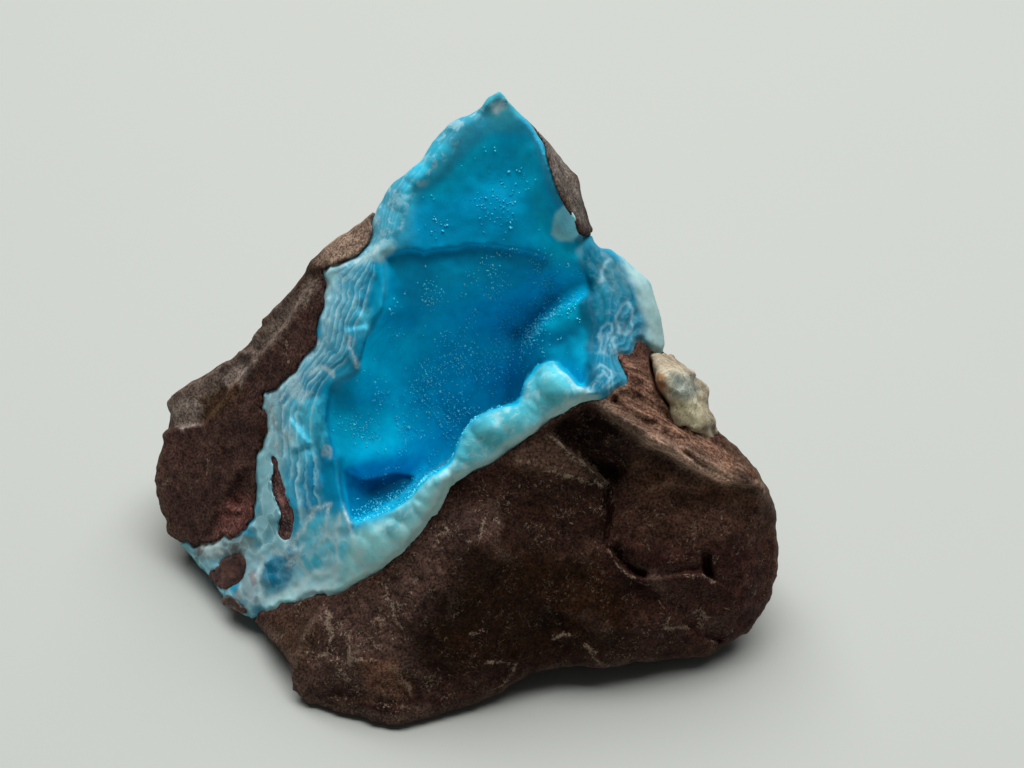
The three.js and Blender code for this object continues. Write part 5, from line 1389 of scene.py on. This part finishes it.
# ------------------------------------------------------------------ the lining's colours, with painted light and shade in places
P = crust_pts
a, bb, d = unplace(P)
_, _, _, sE, sI, sO = crust_parts(P)
wall = smooth01(-sE, 0.35, 1.3) * (1 - smooth01(sI, 0.4, 1.0)) * (1 - smooth01(sO, -1.4, -0.6))
front = 1 - smooth01(d - seen(a, bb), 3.0, 7.0)
front = np.maximum(front, wall)
g = Sheet(growth)(a, bb)
wa = a + 0.22 * value_noise(P, 1.4, 315) + 0.14 * value_noise(P, 0.55, 316)
wb = bb + 0.22 * value_noise(P, 1.4, 317) + 0.14 * value_noise(P, 0.55, 318)
draw = lambda v: Sheet(v)(wa, wb) * front
UPPER = rgb(0, 162, 212)
tint = np.tile(rgb(48, 160, 194), (len(P), 1))
# broken sections, by place
tint = paint(tint, draw(area([(318, 262), (352, 256), (384, 262), (378, 330), (362, 372), (330, 372), (290, 372), (318, 340)], 1.5)), rgb(30, 154, 190))
tint = paint(tint, draw(area([(262, 380), (296, 366), (334, 380), (334, 430), (346, 500), (300, 520), (290, 470), (262, 420)], 1.5)), rgb(8, 138, 176))
tint = paint(tint, draw(area([(256, 400), (278, 400), (284, 470), (286, 545), (254, 560), (250, 480)], 1.5)), rgb(84, 152, 168))
tint = paint(tint, draw(area([(362, 262), (384, 258), (386, 300), (378, 326), (366, 322), (368, 290)], 0.8)), rgb(0, 152, 192), 0.85)
tint = paint(tint, draw(area([(306, 440), (340, 440), (346, 500), (332, 512), (318, 480), (306, 520)], 1.2)), rgb(0, 132, 176), 0.85)
tint = paint(tint, draw(area([(262, 560), (292, 552), (294, 580), (276, 604), (258, 604)], 1.0)), rgb(0, 118, 154), 0.9)
tint = paint(tint, draw(area([(300, 520), (345, 516), (356, 560), (330, 585), (300, 578)], 1.2)), rgb(84, 212, 238), 0.8)
tint = paint(tint, draw(area([(186, 540), (214, 532), (252, 538), (252, 556), (216, 562), (196, 562)], 1.0)), rgb(84, 80, 74), 0.95)
tint = paint(tint, draw(area([(244, 552), (262, 548), (264, 600), (246, 616)], 0.8)), rgb(132, 160, 166), 0.8)
tint = paint(tint, draw(area([(247, 572), (258, 572), (258, 600), (249, 600)], 0.6)), rgb(156, 96, 90), 0.9)
tint = paint(tint, draw(area([(236, 598), (240, 584), (246, 584), (243, 600)], 0.4)), rgb(200, 206, 202), 0.8)
tint = paint(tint, draw(area([(140, 530), (190, 544), (216, 590), (236, 608), (262, 618), (250, 650), (180, 620), (140, 560)], 0.9)), rgb(108, 158, 162), 0.9)
for pts_, soft_, colour_, amount in (([(286, 400), (322, 396), (326, 440), (316, 462), (290, 466)], 1.2, rgb(70, 202, 232), 0.8), ([(318, 262), (336, 262), (334, 290), (322, 292)], 0.8, rgb(150, 214, 220), 0.8),
                                     ([(358, 306), (372, 308), (370, 336), (358, 340)], 0.8, rgb(84, 196, 220), 0.85), ([(256, 582), (270, 582), (270, 600), (256, 602)], 0.8, rgb(50, 120, 138), 0.7),
                                     ([(200, 538), (222, 534), (222, 554), (204, 556)], 0.7, rgb(184, 194, 188), 0.8), ([(242, 538), (256, 538), (256, 552), (242, 552)], 0.7, rgb(120, 152, 152), 0.7),
                                     ([(243, 570), (249, 570), (249, 592), (243, 592)], 0.5, rgb(120, 100, 94), 0.8)):
    tint = paint(tint, draw(area(pts_, soft_)), colour_, amount)
brown = np.zeros_like(GA)
for line, w in (([(271, 384), (273, 396), (271, 410)], 0.25), ([(272, 414), (276, 428)], 0.25), ([(276, 442), (278, 452)], 0.28), ([(283, 376), (276, 380), (272, 386)], 0.22), ([(268, 486), (263, 500)], 0.15), ([(232, 552), (238, 560)], 0.2), ([(236, 594), (244, 602)], 0.3), ([(246, 574), (246, 590)], 0.35)):
    brown = np.maximum(brown, stroke(line, w))
tint = paint(tint, draw(brown), rgb(104, 82, 74), 0.75)
rim_zone = area([(338, 600), (352, 532), (380, 522), (412, 500), (430, 470), (455, 440), (500, 405), (530, 370), (570, 358), (590, 372), (600, 400), (540, 440), (450, 500), (410, 560)], 1.5)
tint = paint(tint, draw(area([(262, 600), (300, 580), (345, 560), (352, 590), (338, 606), (268, 616)], 1.5)), rgb(190, 246, 248), 0.85)
tint = paint(tint, draw(rim_zone), rgb(92, 198, 212))
edge_pale = rim_zone * (1 - smooth01(dc, 0.3, 1.7))
# painted light: the downward-facing lobes along the lower rim are painted paler again, over their own pale teal
tint = paint(tint, draw(rim_zone * area([(330, 620), (340, 530), (380, 515), (415, 490), (440, 465), (470, 470), (440, 520), (400, 580)], 3.0)), rgb(172, 246, 250), 0.9)
tint = paint(tint, draw(stroke([(388, 530), (400, 519), (408, 511)], 0.8)), rgb(50, 140, 156), 0.7)
tint = paint(tint, draw(edge_pale), rgb(206, 232, 222), 0.65)
tint = paint(tint, draw(rim_zone * smooth01(sheet_noise(2.4, 311, 3), 0.05, 0.45)), rgb(170, 226, 226), 0.35)
tint = paint(tint, draw(rim_zone * smooth01(dr * -1 + 2.2, 0.0, 2.0)), rgb(56, 172, 196), 0.45)
tint = paint(tint, draw(stroke([(560, 365), (572, 380), (588, 396)], 0.35)), rgb(190, 216, 216), 0.7)
tint = paint(tint, draw(area([(434, 455), (441, 454), (443, 462), (436, 462)], 0.5)), rgb(150, 96, 86), 0.6)
right = area([(584, 250), (600, 244), (640, 280), (650, 310), (646, 350), (620, 362), (630, 384), (612, 392), (588, 394), (592, 340), (584, 300)], 1.2)
tint = paint(tint, draw(right), rgb(0, 116, 146))
tint = paint(tint, draw(area([(596, 260), (620, 262), (632, 290), (614, 300), (598, 284)], 1.4)), rgb(40, 110, 128), 0.8)
tint = paint(tint, draw(area([(620, 256), (644, 270), (668, 310), (670, 360), (648, 350), (640, 300)], 1.5)), rgb(164, 196, 194), 0.9)
tint = paint(tint, draw(area([(618, 308), (630, 306), (632, 330), (620, 332)], 0.6)), rgb(16, 112, 140), 0.8)
ring = np.zeros_like(GA)
for q, w in (([(616, 318), (619, 306), (626, 303), (632, 310), (632, 326), (626, 335), (619, 333), (616, 318)], 0.16), ([(600, 350), (601, 330), (606, 322), (612, 326), (614, 348)], 0.13),
             ([(604, 352), (605, 336), (609, 332), (611, 350)], 0.10), ([(588, 392), (590, 372), (600, 363), (610, 370), (614, 390)], 0.14), ([(594, 392), (596, 378), (602, 371), (608, 378), (609, 392)], 0.12),
             ([(599, 282), (602, 268), (608, 262)], 0.22), ([(590, 300), (594, 330), (592, 352)], 0.12), ([(612, 340), (618, 352), (622, 360)], 0.14)):
    ring = np.maximum(ring, stroke(q, w))
tint = paint(tint, draw(ring), rgb(160, 208, 222), 0.6)
fin = area([(352, 262), (372, 236), (374, 190), (402, 146), (440, 100), (500, 62), (520, 92), (512, 110), (486, 116), (468, 132), (442, 164), (412, 198), (406, 222), (392, 250), (378, 262)], 0.9)
tint = paint(tint, draw(fin), rgb(54, 150, 174), 0.9)
tint = paint(tint, draw(area([(398, 204), (408, 168), (438, 140), (456, 148), (434, 184), (412, 210)], 1.0)), rgb(50, 190, 222), 0.7)
tint = paint(tint, draw(area([(478, 100), (500, 60), (526, 100), (518, 120), (492, 122)], 1.4)), rgb(66, 166, 182), 0.75)
tint = paint(tint, draw(area([(492, 106), (500, 103), (506, 108), (500, 114), (493, 112)], 0.5)), rgb(186, 214, 214), 0.7)
tint = paint(tint, draw(area([(364, 262), (368, 246), (392, 240), (392, 254), (380, 262)], 0.8)), rgb(150, 204, 214), 0.8)
beside = draw(area([(566, 284), (592, 282), (597, 320), (596, 380), (584, 392), (574, 350)], 0.9))
tint = paint(tint, beside, rgb(6, 98, 126), 0.9)
tint = paint(tint, draw(area([(596, 284), (606, 284), (606, 322), (598, 322)], 0.9)), rgb(40, 140, 164), 0.8)
# painted shade: a darker stroke down the pocket's left edge holds down the bright glow that light gives that edge
tint = paint(tint, draw(stroke([(341, 462), (343, 492), (350, 524)], 0.4)), rgb(30, 124, 150), 0.85)
# the open hollow: its own blue, with painted light and shade in places
w_t = np.tile(UPPER, (len(P), 1))
# painted light: the wall below the crease is painted a brighter blue than the upper wall, standing in for light that
# comes through the translucent crust into the shaded hollow
low = Sheet(1 - smooth01(polygon_distance(px(CREASE + [(590, 268), (640, 300), (640, 420), (560, 430), (330, 560), (300, 400), (360, 300)]), GA, GB), -0.12, 0.12))(a, bb)
fade = Sheet(1 - area([(540, 240), (640, 240), (640, 330), (560, 300)], 4.0))(a, bb)
w_t = paint(w_t, low * fade, rgb(0, 200, 246), 0.97)
w_t = paint(w_t, Sheet(area([(330, 340), (392, 310), (432, 350), (430, 400), (396, 448), (340, 440), (322, 400)], 6.0))(a, bb), rgb(0, 218, 252), 0.9)
w_t = paint(w_t, Sheet(area([(420, 340), (470, 330), (505, 350), (500, 400), (450, 430), (410, 420), (404, 370)], 4.0))(a, bb), rgb(0, 192, 226), 0.8)
w_t = paint(w_t, Sheet(area([(318, 360), (352, 350), (356, 420), (350, 470), (336, 470), (326, 430)], 2.5))(a, bb), rgb(0, 158, 196), 0.85)
w_t = paint(w_t, Sheet(area([(344, 400), (384, 404), (380, 440), (346, 446)], 3.0))(a, bb), rgb(0, 176, 212), 0.8)
w_t = paint(w_t, Sheet(area([(384, 284), (422, 284), (416, 322), (384, 326)], 2.5))(a, bb), rgb(0, 166, 212), 0.8)
w_t = paint(w_t, Sheet(area([(430, 430), (500, 390), (520, 404), (470, 460), (430, 476)], 3.0))(a, bb), rgb(0, 178, 224), 0.5)
w_t = paint(w_t, Sheet(area(CREST + [(600, 400), (530, 380), (505, 400)], 1.2))(a, bb), rgb(0, 186, 220), 0.9)
# painted shade: a darker blue just below the crease, under the step where the upper wall overhangs
w_t = paint(w_t, low * fade * Sheet(slope_side(CREASE, 5.0, left=False, edge=0.10, hold=0.02))(a, bb), rgb(0, 146, 200), 0.8)
# painted light: the upper wall beneath the peak, in the peak's shadow, is painted a brighter blue to make up for it
w_t = paint(w_t, Sheet(area([(452, 148), (486, 128), (530, 134), (560, 190), (585, 250), (556, 262), (524, 240), (508, 196), (470, 190), (446, 196), (424, 190)], 3.0))(a, bb), rgb(0, 182, 228), 0.85)
w_t = paint(w_t, Sheet(area([(540, 176), (556, 190), (590, 250), (584, 292), (560, 296), (552, 262), (536, 220)], 2.0))(a, bb), rgb(0, 212, 255), 0.85)
w_t = paint(w_t, Sheet(stroke([(434, 188), (452, 168), (486, 144)], 1.5) + stroke([(526, 152), (543, 196), (552, 222)], 1.4))(a, bb), rgb(0, 216, 255), 0.75)
w_t = paint(w_t, Sheet(area([(418, 216), (446, 206), (462, 226), (450, 244), (424, 244)], 2.5))(a, bb), rgb(0, 140, 184), 0.7)
w_t = paint(w_t, Sheet(area([(386, 264), (440, 256), (440, 284), (388, 292)], 1.0))(a, bb), rgb(0, 176, 224), 0.8)
w_t = paint(w_t, Sheet(area([(440, 84), (560, 84), (545, 128), (520, 132), (480, 132), (452, 150), (420, 180), (400, 200), (392, 180)], 1.6))(a, bb), rgb(56, 176, 196), 0.8)
w_t = paint(w_t, Sheet(stroke([(524, 112), (536, 140), (548, 175), (556, 205)], 1.5))(a, bb), rgb(20, 170, 204), 0.7)
w_t = paint(w_t, Sheet(stroke([(398, 262), (392, 245), (398, 220), (420, 190), (450, 160)], 1.6))(a, bb), rgb(16, 156, 188), 0.6)
w_t = paint(w_t, Sheet(area([(560, 320), (600, 300), (610, 350), (604, 400), (570, 366), (556, 350)], 3.0))(a, bb), rgb(6, 158, 194), 0.85)
w_t = paint(w_t, Sheet(area([(343, 470), (365, 480), (395, 472), (416, 476), (402, 495), (375, 511), (352, 526)], 0.35))(a, bb), rgb(0, 118, 160), 0.95)
# painted shade: the recess above and to the left of the crest is painted a darker blue
w_t = paint(w_t, Sheet(area([(505, 402), (510, 336), (534, 306), (556, 294), (560, 306), (540, 326), (520, 362), (512, 408)], 1.6))(a, bb), rgb(0, 150, 200), 0.7)
w_t = paint(w_t, Sheet(area([(352, 522), (372, 512), (404, 494), (424, 476), (430, 480), (404, 504), (372, 522)], 0.9))(a, bb), rgb(20, 176, 212), 0.85)
# painted shade: the same darker stroke on the wall's side of the pocket's left edge, holding down its glow
w_t = paint(w_t, Sheet(stroke([(339, 460), (341, 492), (348, 526)], 0.6))(a, bb), rgb(0, 112, 146), 0.9)
# painted shade: the wall along the inner rim edge is painted a darker blue to hold down the bright glow that light
# gives that edge
at_rim = smooth01(rim_sd.v, -1.0, -0.1) * area([(346, 532), (352, 516), (380, 506), (408, 490), (426, 462), (466, 422), (502, 396), (526, 364), (556, 346), (590, 360), (604, 400), (500, 440), (400, 560)], 0.8)
w_t = paint(w_t, Sheet(at_rim)(a, bb), rgb(20, 168, 204), 0.6)
w_t = paint(w_t, Sheet(smooth01(rim_sd.v, -0.9, -0.1) * area([(580, 300), (600, 300), (600, 396), (584, 396)], 1.0))(a, bb), rgb(16, 128, 156), 0.8)
# the knob is pale, and is painted near white as painted light as well, since its face lies in shade
knob = Sheet(area([(552, 234), (555, 214), (566, 203), (578, 214), (582, 232), (572, 241), (558, 240)], 0.35))(a, bb)
w_t = paint(w_t, knob, rgb(170, 244, 250), 0.95)
w_t = paint(w_t, Sheet(area([(576, 250), (592, 238), (602, 252), (598, 270), (584, 268)], 0.8))(a, bb), rgb(150, 182, 190), 0.7)
tint = tint * (1 - wall[:, None]) + w_t * wall[:, None]
tint = paint(tint, knob * front, rgb(170, 244, 250), 0.95)
open_front = front * (1 - wall)
bandmask = draw(area([(262, 380), (296, 366), (322, 335), (318, 262), (352, 256), (380, 262), (372, 330), (358, 372), (334, 390), (334, 450), (340, 500), (300, 530), (288, 470), (262, 420)], 1.2)) * (1 - wall)
bandmask = np.maximum(bandmask, 0.14 * draw(right) * (1 - wall))
bandmask = np.maximum(bandmask, 0.25 * draw(fin) * (1 - wall))
blockmask = draw(area([(186, 540), (256, 500), (256, 420), (276, 430), (290, 540), (345, 512), (356, 560), (330, 592), (262, 608), (236, 634), (196, 600)], 1.2)) * (1 - wall)
vein = np.zeros_like(GA)
for line, w in (([(287, 545), (296, 540), (303, 530), (309, 518), (318, 507), (330, 503)], 0.28), ([(303, 545), (298, 555), (303, 566), (312, 574), (326, 575)], 0.26), ([(326, 575), (338, 562), (337, 545), (330, 533)], 0.22),
                ([(338, 562), (335, 580), (336, 592)], 0.2), ([(345, 505), (346, 520), (352, 530), (356, 545), (360, 560), (368, 575)], 0.2), ([(303, 566), (292, 560), (283, 552), (272, 550)], 0.26), ([(312, 574), (300, 585), (296, 600)], 0.3),
                ([(262, 555), (258, 575), (262, 600)], 0.25), ([(330, 503), (327, 520), (326, 535), (318, 545)], 0.16), ([(340, 515), (336, 530), (340, 545)], 0.16), ([(292, 543), (296, 556), (290, 566)], 0.45),
                ([(268, 600), (290, 590), (312, 590), (330, 588)], 0.3), ([(345, 262), (332, 263), (320, 266)], 0.2), ([(376, 246), (372, 254), (356, 259)], 0.25), ([(358, 368), (352, 352), (350, 336)], 0.2), ([(332, 372), (322, 366), (312, 372)], 0.2)):
    vein = np.maximum(vein, stroke(line, w))
for pts_, soft_ in (([(286, 378), (300, 374), (304, 386), (312, 392), (300, 402), (288, 398)], 0.6), ([(288, 424), (298, 436), (302, 444), (286, 446), (282, 434)], 0.5),
                    ([(322, 444), (330, 448), (330, 460), (322, 456)], 0.4)):
    vein = np.maximum(vein, 0.55 * area(pts_, soft_))
vein = 0.85 * draw(vein) * (1 - wall)
milk = np.maximum(0.8 * draw(rim_zone), np.maximum(0.75 * draw(fin), 0.22 * draw(right))) * (1 - wall)
milk = np.maximum(milk, 0.2 * blockmask) * (1 - 0.8 * beside)
bandmask = bandmask * (1 - 0.7 * beside)
deep = draw(area([(264, 562), (276, 552), (292, 554), (296, 572), (284, 596), (266, 604), (260, 584)], 0.8))
blockmask = blockmask * (1 - 0.8 * deep) * (1 - 0.55 * draw(area([(186, 538), (214, 530), (250, 536), (250, 556), (216, 562), (196, 562)], 1.0)))
band = g
crust_ob = mesh_piece("hemimorphite_lining", P, crust_quad, crust_tri, blue, {"tint": tint, "band": band, "banding": bandmask, "blocky": blockmask, "milk": milk, "vein": vein}, replaces=("hemimorphite_crust",))
lap("lining piece")


# ------------------------------------------------------------------ fragments held in the lining, and the pale crust on the shoulder
def small_piece(name, field, box, h, material, colour, dusty, node):
    blk = Block(box[0], box[1], h)
    pts, quad, tri = biggest(*blk.mesh(blk.fill(field)))
    t = colour(pts)
    mesh_piece(name, pts, quad, tri, material, {"tint": t, "dust": np.full(len(pts), dusty)}, replaces=(node,))
    return pts


def box_of(outline, lo, hi):
    A_ = np.array(outline)
    c = np.concatenate([place(A_[:, 0], A_[:, 1], d_) for d_ in (lo, hi)])
    return c.min(0) - 1.0, c.max(0) + 1.0


for name, node, dusty, col in (("red_sliver", "clast_sliver", 0.9, rgb(78, 42, 40)), ("oval_clast", "clast_oval", 0.08, rgb(74, 44, 38)), ("small_clast", "clast_small", 0.4, rgb(100, 74, 60))):
    outline, back, seed = fragments[node]
    A_ = np.array(outline)
    near_d = float(seen(A_[:, 0], A_[:, 1]).min()) - 1.5

    def field(P, node=node, seed=seed):
        a, b, d = unplace(P)
        e = outer(P, a, b, d) + {61: 0.3, 62: -0.1, 63: -0.45}[seed] + 0.18 * value_noise(P, 0.7, seed + 1)
        return np.maximum(e, prisms[node](P, a, b, d))

    def colour(pts, col=col, seed=seed):
        t = np.tile(col, (len(pts), 1))
        t = paint(t, smooth01(fractal(pts, 1.2, seed + 5, 3), 0.0, 0.4), rgb(128, 84, 76) if seed == 61 else (rgb(92, 60, 48) if seed == 62 else rgb(150, 126, 104)), 0.55)
        return paint(t, smooth01(fractal(pts, 1.6, seed + 6, 3), 0.1, 0.4), rgb(38, 20, 20), 0.75)

    small_piece(name, field, box_of(outline, near_d, back + 0.5), 0.2, grit, colour, dusty, node)


def lump(P):
    f1, _, _ = cells(P, 3.4, 74)
    return lump_at(P) - 0.25 + 0.75 * smooth01(f1, 0.2, 2.6) + 0.20 * value_noise(P, 2.2, 71) + 0.16 * value_noise(P, 0.9, 72)


def lump_colour(pts):
    A_, B_, D_ = unplace(pts)
    t = np.tile(rgb(214, 208, 182), (len(pts), 1))
    d_ = lambda m_: Sheet(m_)(A_, B_)
    edge = stroke([(650, 356), (654, 380), (661, 399), (677, 417), (690, 433)], 0.8) + stroke([(663, 352), (680, 363), (697, 378), (709, 394), (711, 414), (716, 438)], 0.5)
    t = paint(t, d_(edge), rgb(104, 84, 64), 0.75)
    t = paint(t, d_(area([(640, 345), (672, 350), (690, 366), (668, 374), (650, 366)], 1.5)), rgb(146, 130, 110), 0.8)
    t = paint(t, d_(area([(652, 372), (664, 374), (668, 392), (658, 390)], 0.8)), rgb(176, 120, 78), 0.9)
    t = paint(t, d_(area([(668, 372), (690, 374), (700, 392), (688, 402), (672, 396)], 1.2)), rgb(106, 118, 114), 0.9)
    t = paint(t, d_(area([(670, 400), (696, 402), (706, 424), (692, 432), (676, 416)], 1.5)), rgb(224, 216, 178), 0.85)
    t = paint(t, d_(area([(696, 384), (710, 396), (716, 440), (704, 440), (700, 410)], 1.0)), rgb(110, 92, 70), 0.6)
    return paint(t, smooth01(fractal(pts, 2.0, 75, 3), 0.1, 0.5), rgb(128, 118, 98), 0.4)


small_piece("pale_crust_patch", lump, union_box(LUMP, 1.5), 0.26, pale, lump_colour, 0.3, "pale_crust")
lap("fragments")


# ------------------------------------------------------------------ tiny crystals on the wall of the hollow
def druse():
    rng = np.random.default_rng(77)
    Nn = normals_of(P, crust_quad, crust_tri)
    fr, av = unplace(P)[:2]
    ok = np.nonzero((wall > 0.75) & (sI < 0.6) & (Nn @ INTO < 0.1))[0]
    pa, pb = a[ok], bb[ok]
    w = 0.02 + 2.4 * smooth01(fractal(P[ok], 2.6, 401, 4), 0.20, 0.5) ** 2
    hot = np.zeros_like(GA)
    for line, width in ((CREST, 0.7), ([(356, 518), (372, 510), (392, 500), (410, 490), (424, 478)], 0.7), ([(488, 262), (496, 272), (500, 284)], 0.9), ([(430, 286), (434, 300)], 1.0), ([(506, 322), (522, 336)], 1.2),
                        ([(428, 388), (450, 412)], 2.2), ([(350, 424), (364, 432)], 1.2), ([(486, 202), (498, 216), (512, 190)], 1.4), ([(520, 172), (528, 180)], 0.8), ([(540, 262), (548, 300)], 1.2), ([(456, 350), (470, 372), (500, 360)], 2.0)):
        hot = np.maximum(hot, stroke(line, width))
    w = w + 5.0 * Sheet(hot)(pa, pb)
    w *= 1 - 0.7 * smooth01(pb, 11.0, 24.0)
    pick = rng.choice(ok, size=2800, replace=False, p=w / w.sum())
    verts, faces = [], []
    base_ring = np.array([[math.cos(t), math.sin(t)] for t in np.arange(4) * math.pi / 2])
    for i in pick:
        n = Nn[i] + rng.normal(0, 0.55, 3)
        n /= np.linalg.norm(n)
        u = np.cross(n, rng.normal(0, 1, 3))
        u /= np.linalg.norm(u)
        v = np.cross(n, u)
        s = rng.uniform(0.045, 0.088) * (1.5 if rng.random() < 0.12 else 1.0)
        l = s * rng.uniform(0.9, 1.5)
        c = P[i] + Nn[i] * 0.04 + rng.normal(0, 0.04, 3)
        k = len(verts)
        for z, r in ((-0.5, 1.0), (0.9, 1.0)):
            for q in base_ring:
                verts.append(c + n * l * z + (u * q[0] * 1.25 + v * q[1] * 0.8) * s * r)
        verts.append(c + n * l * 1.7 + u * s * 0.3)
        for j in range(4):
            m = (j + 1) % 4
            faces.append((k + j, k + m, k + 4 + m, k + 4 + j))
            faces.append((k + 4 + j, k + 4 + m, k + 8))
        faces.append((k + 3, k + 2, k + 1, k))
    me = bpy.data.meshes.new("crystals")
    me.from_pydata((np.array(verts) * MM).tolist(), [], faces)
    me.update()
    ob = bpy.data.objects.new("crystals", me)
    bpy.context.scene.collection.objects.link(ob)
    me.materials.append(crystals_painted_glint)
    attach(ob, "root")
    return ob


druse()
lap("crystals")


# ------------------------------------------------------------------ floor, light and camera
scene = bpy.context.scene
scene.view_settings.view_transform = "Standard"
scene.view_settings.look = "None"


def floor():
    me = bpy.data.meshes.new("floor")
    s = 1.6
    me.from_pydata([(-s, -s, 0), (s, -s, 0), (s, s, 0), (-s, s, 0)], [], [(0, 1, 2, 3)])
    ob = bpy.data.objects.new("floor", me)
    scene.collection.objects.link(ob)
    m, t, bsdf = nodes_for("floor_card")
    T = Tree(t)
    T.put(bsdf, "Base Color", T.mix(T.noise(60.0, 2), rgb(174, 177, 172), rgb(176, 179, 174)))
    T.put(bsdf, "Roughness", 0.6)
    T.put(bsdf, "Specular IOR Level", 0.2)
    me.materials.append(m)
    return ob


floor()


def soft_light(name, at, toward, size, power, colour=(1, 1, 1)):
    li = bpy.data.lights.new(name, "AREA")
    li.shape = "RECTANGLE"
    li.size, li.size_y = size
    li.energy = power
    li.color = colour
    ob = bpy.data.objects.new(name, li)
    ob.location = at
    ob.rotation_euler = (Vector(toward) - Vector(at)).to_track_quat("-Z", "Y").to_euler()
    scene.collection.objects.link(ob)
    return ob


soft_light("overhead", (0.03, 0.20, 0.64), (0, 0.02, 0.02), (0.80, 0.60), 8.7)
world = bpy.data.worlds.new("room")
scene.world = world
world.use_nodes = True
bg = world.node_tree.nodes["Background"]
bg.inputs[0].default_value = (0.96, 1.0, 0.99, 1)
bg.inputs[1].default_value = 0.07

cam = bpy.data.cameras.new("view")
cam.lens = 1750 / 1024 * 36
cam.sensor_width = 36
cam.clip_start = 0.01
cam.clip_end = 20
ob = bpy.data.objects.new("view", cam)
eye = (MIDDLE - (TAPER + 0.0) * INTO) * MM
ob.matrix_world = Matrix.Translation(eye) @ Matrix(((1, 0, 0, 0), (0, UP[1], -INTO[1], 0), (0, UP[2], -INTO[2], 0), (0, 0, 0, 1)))
scene.collection.objects.link(ob)
scene.camera = ob

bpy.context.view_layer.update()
lap("done")
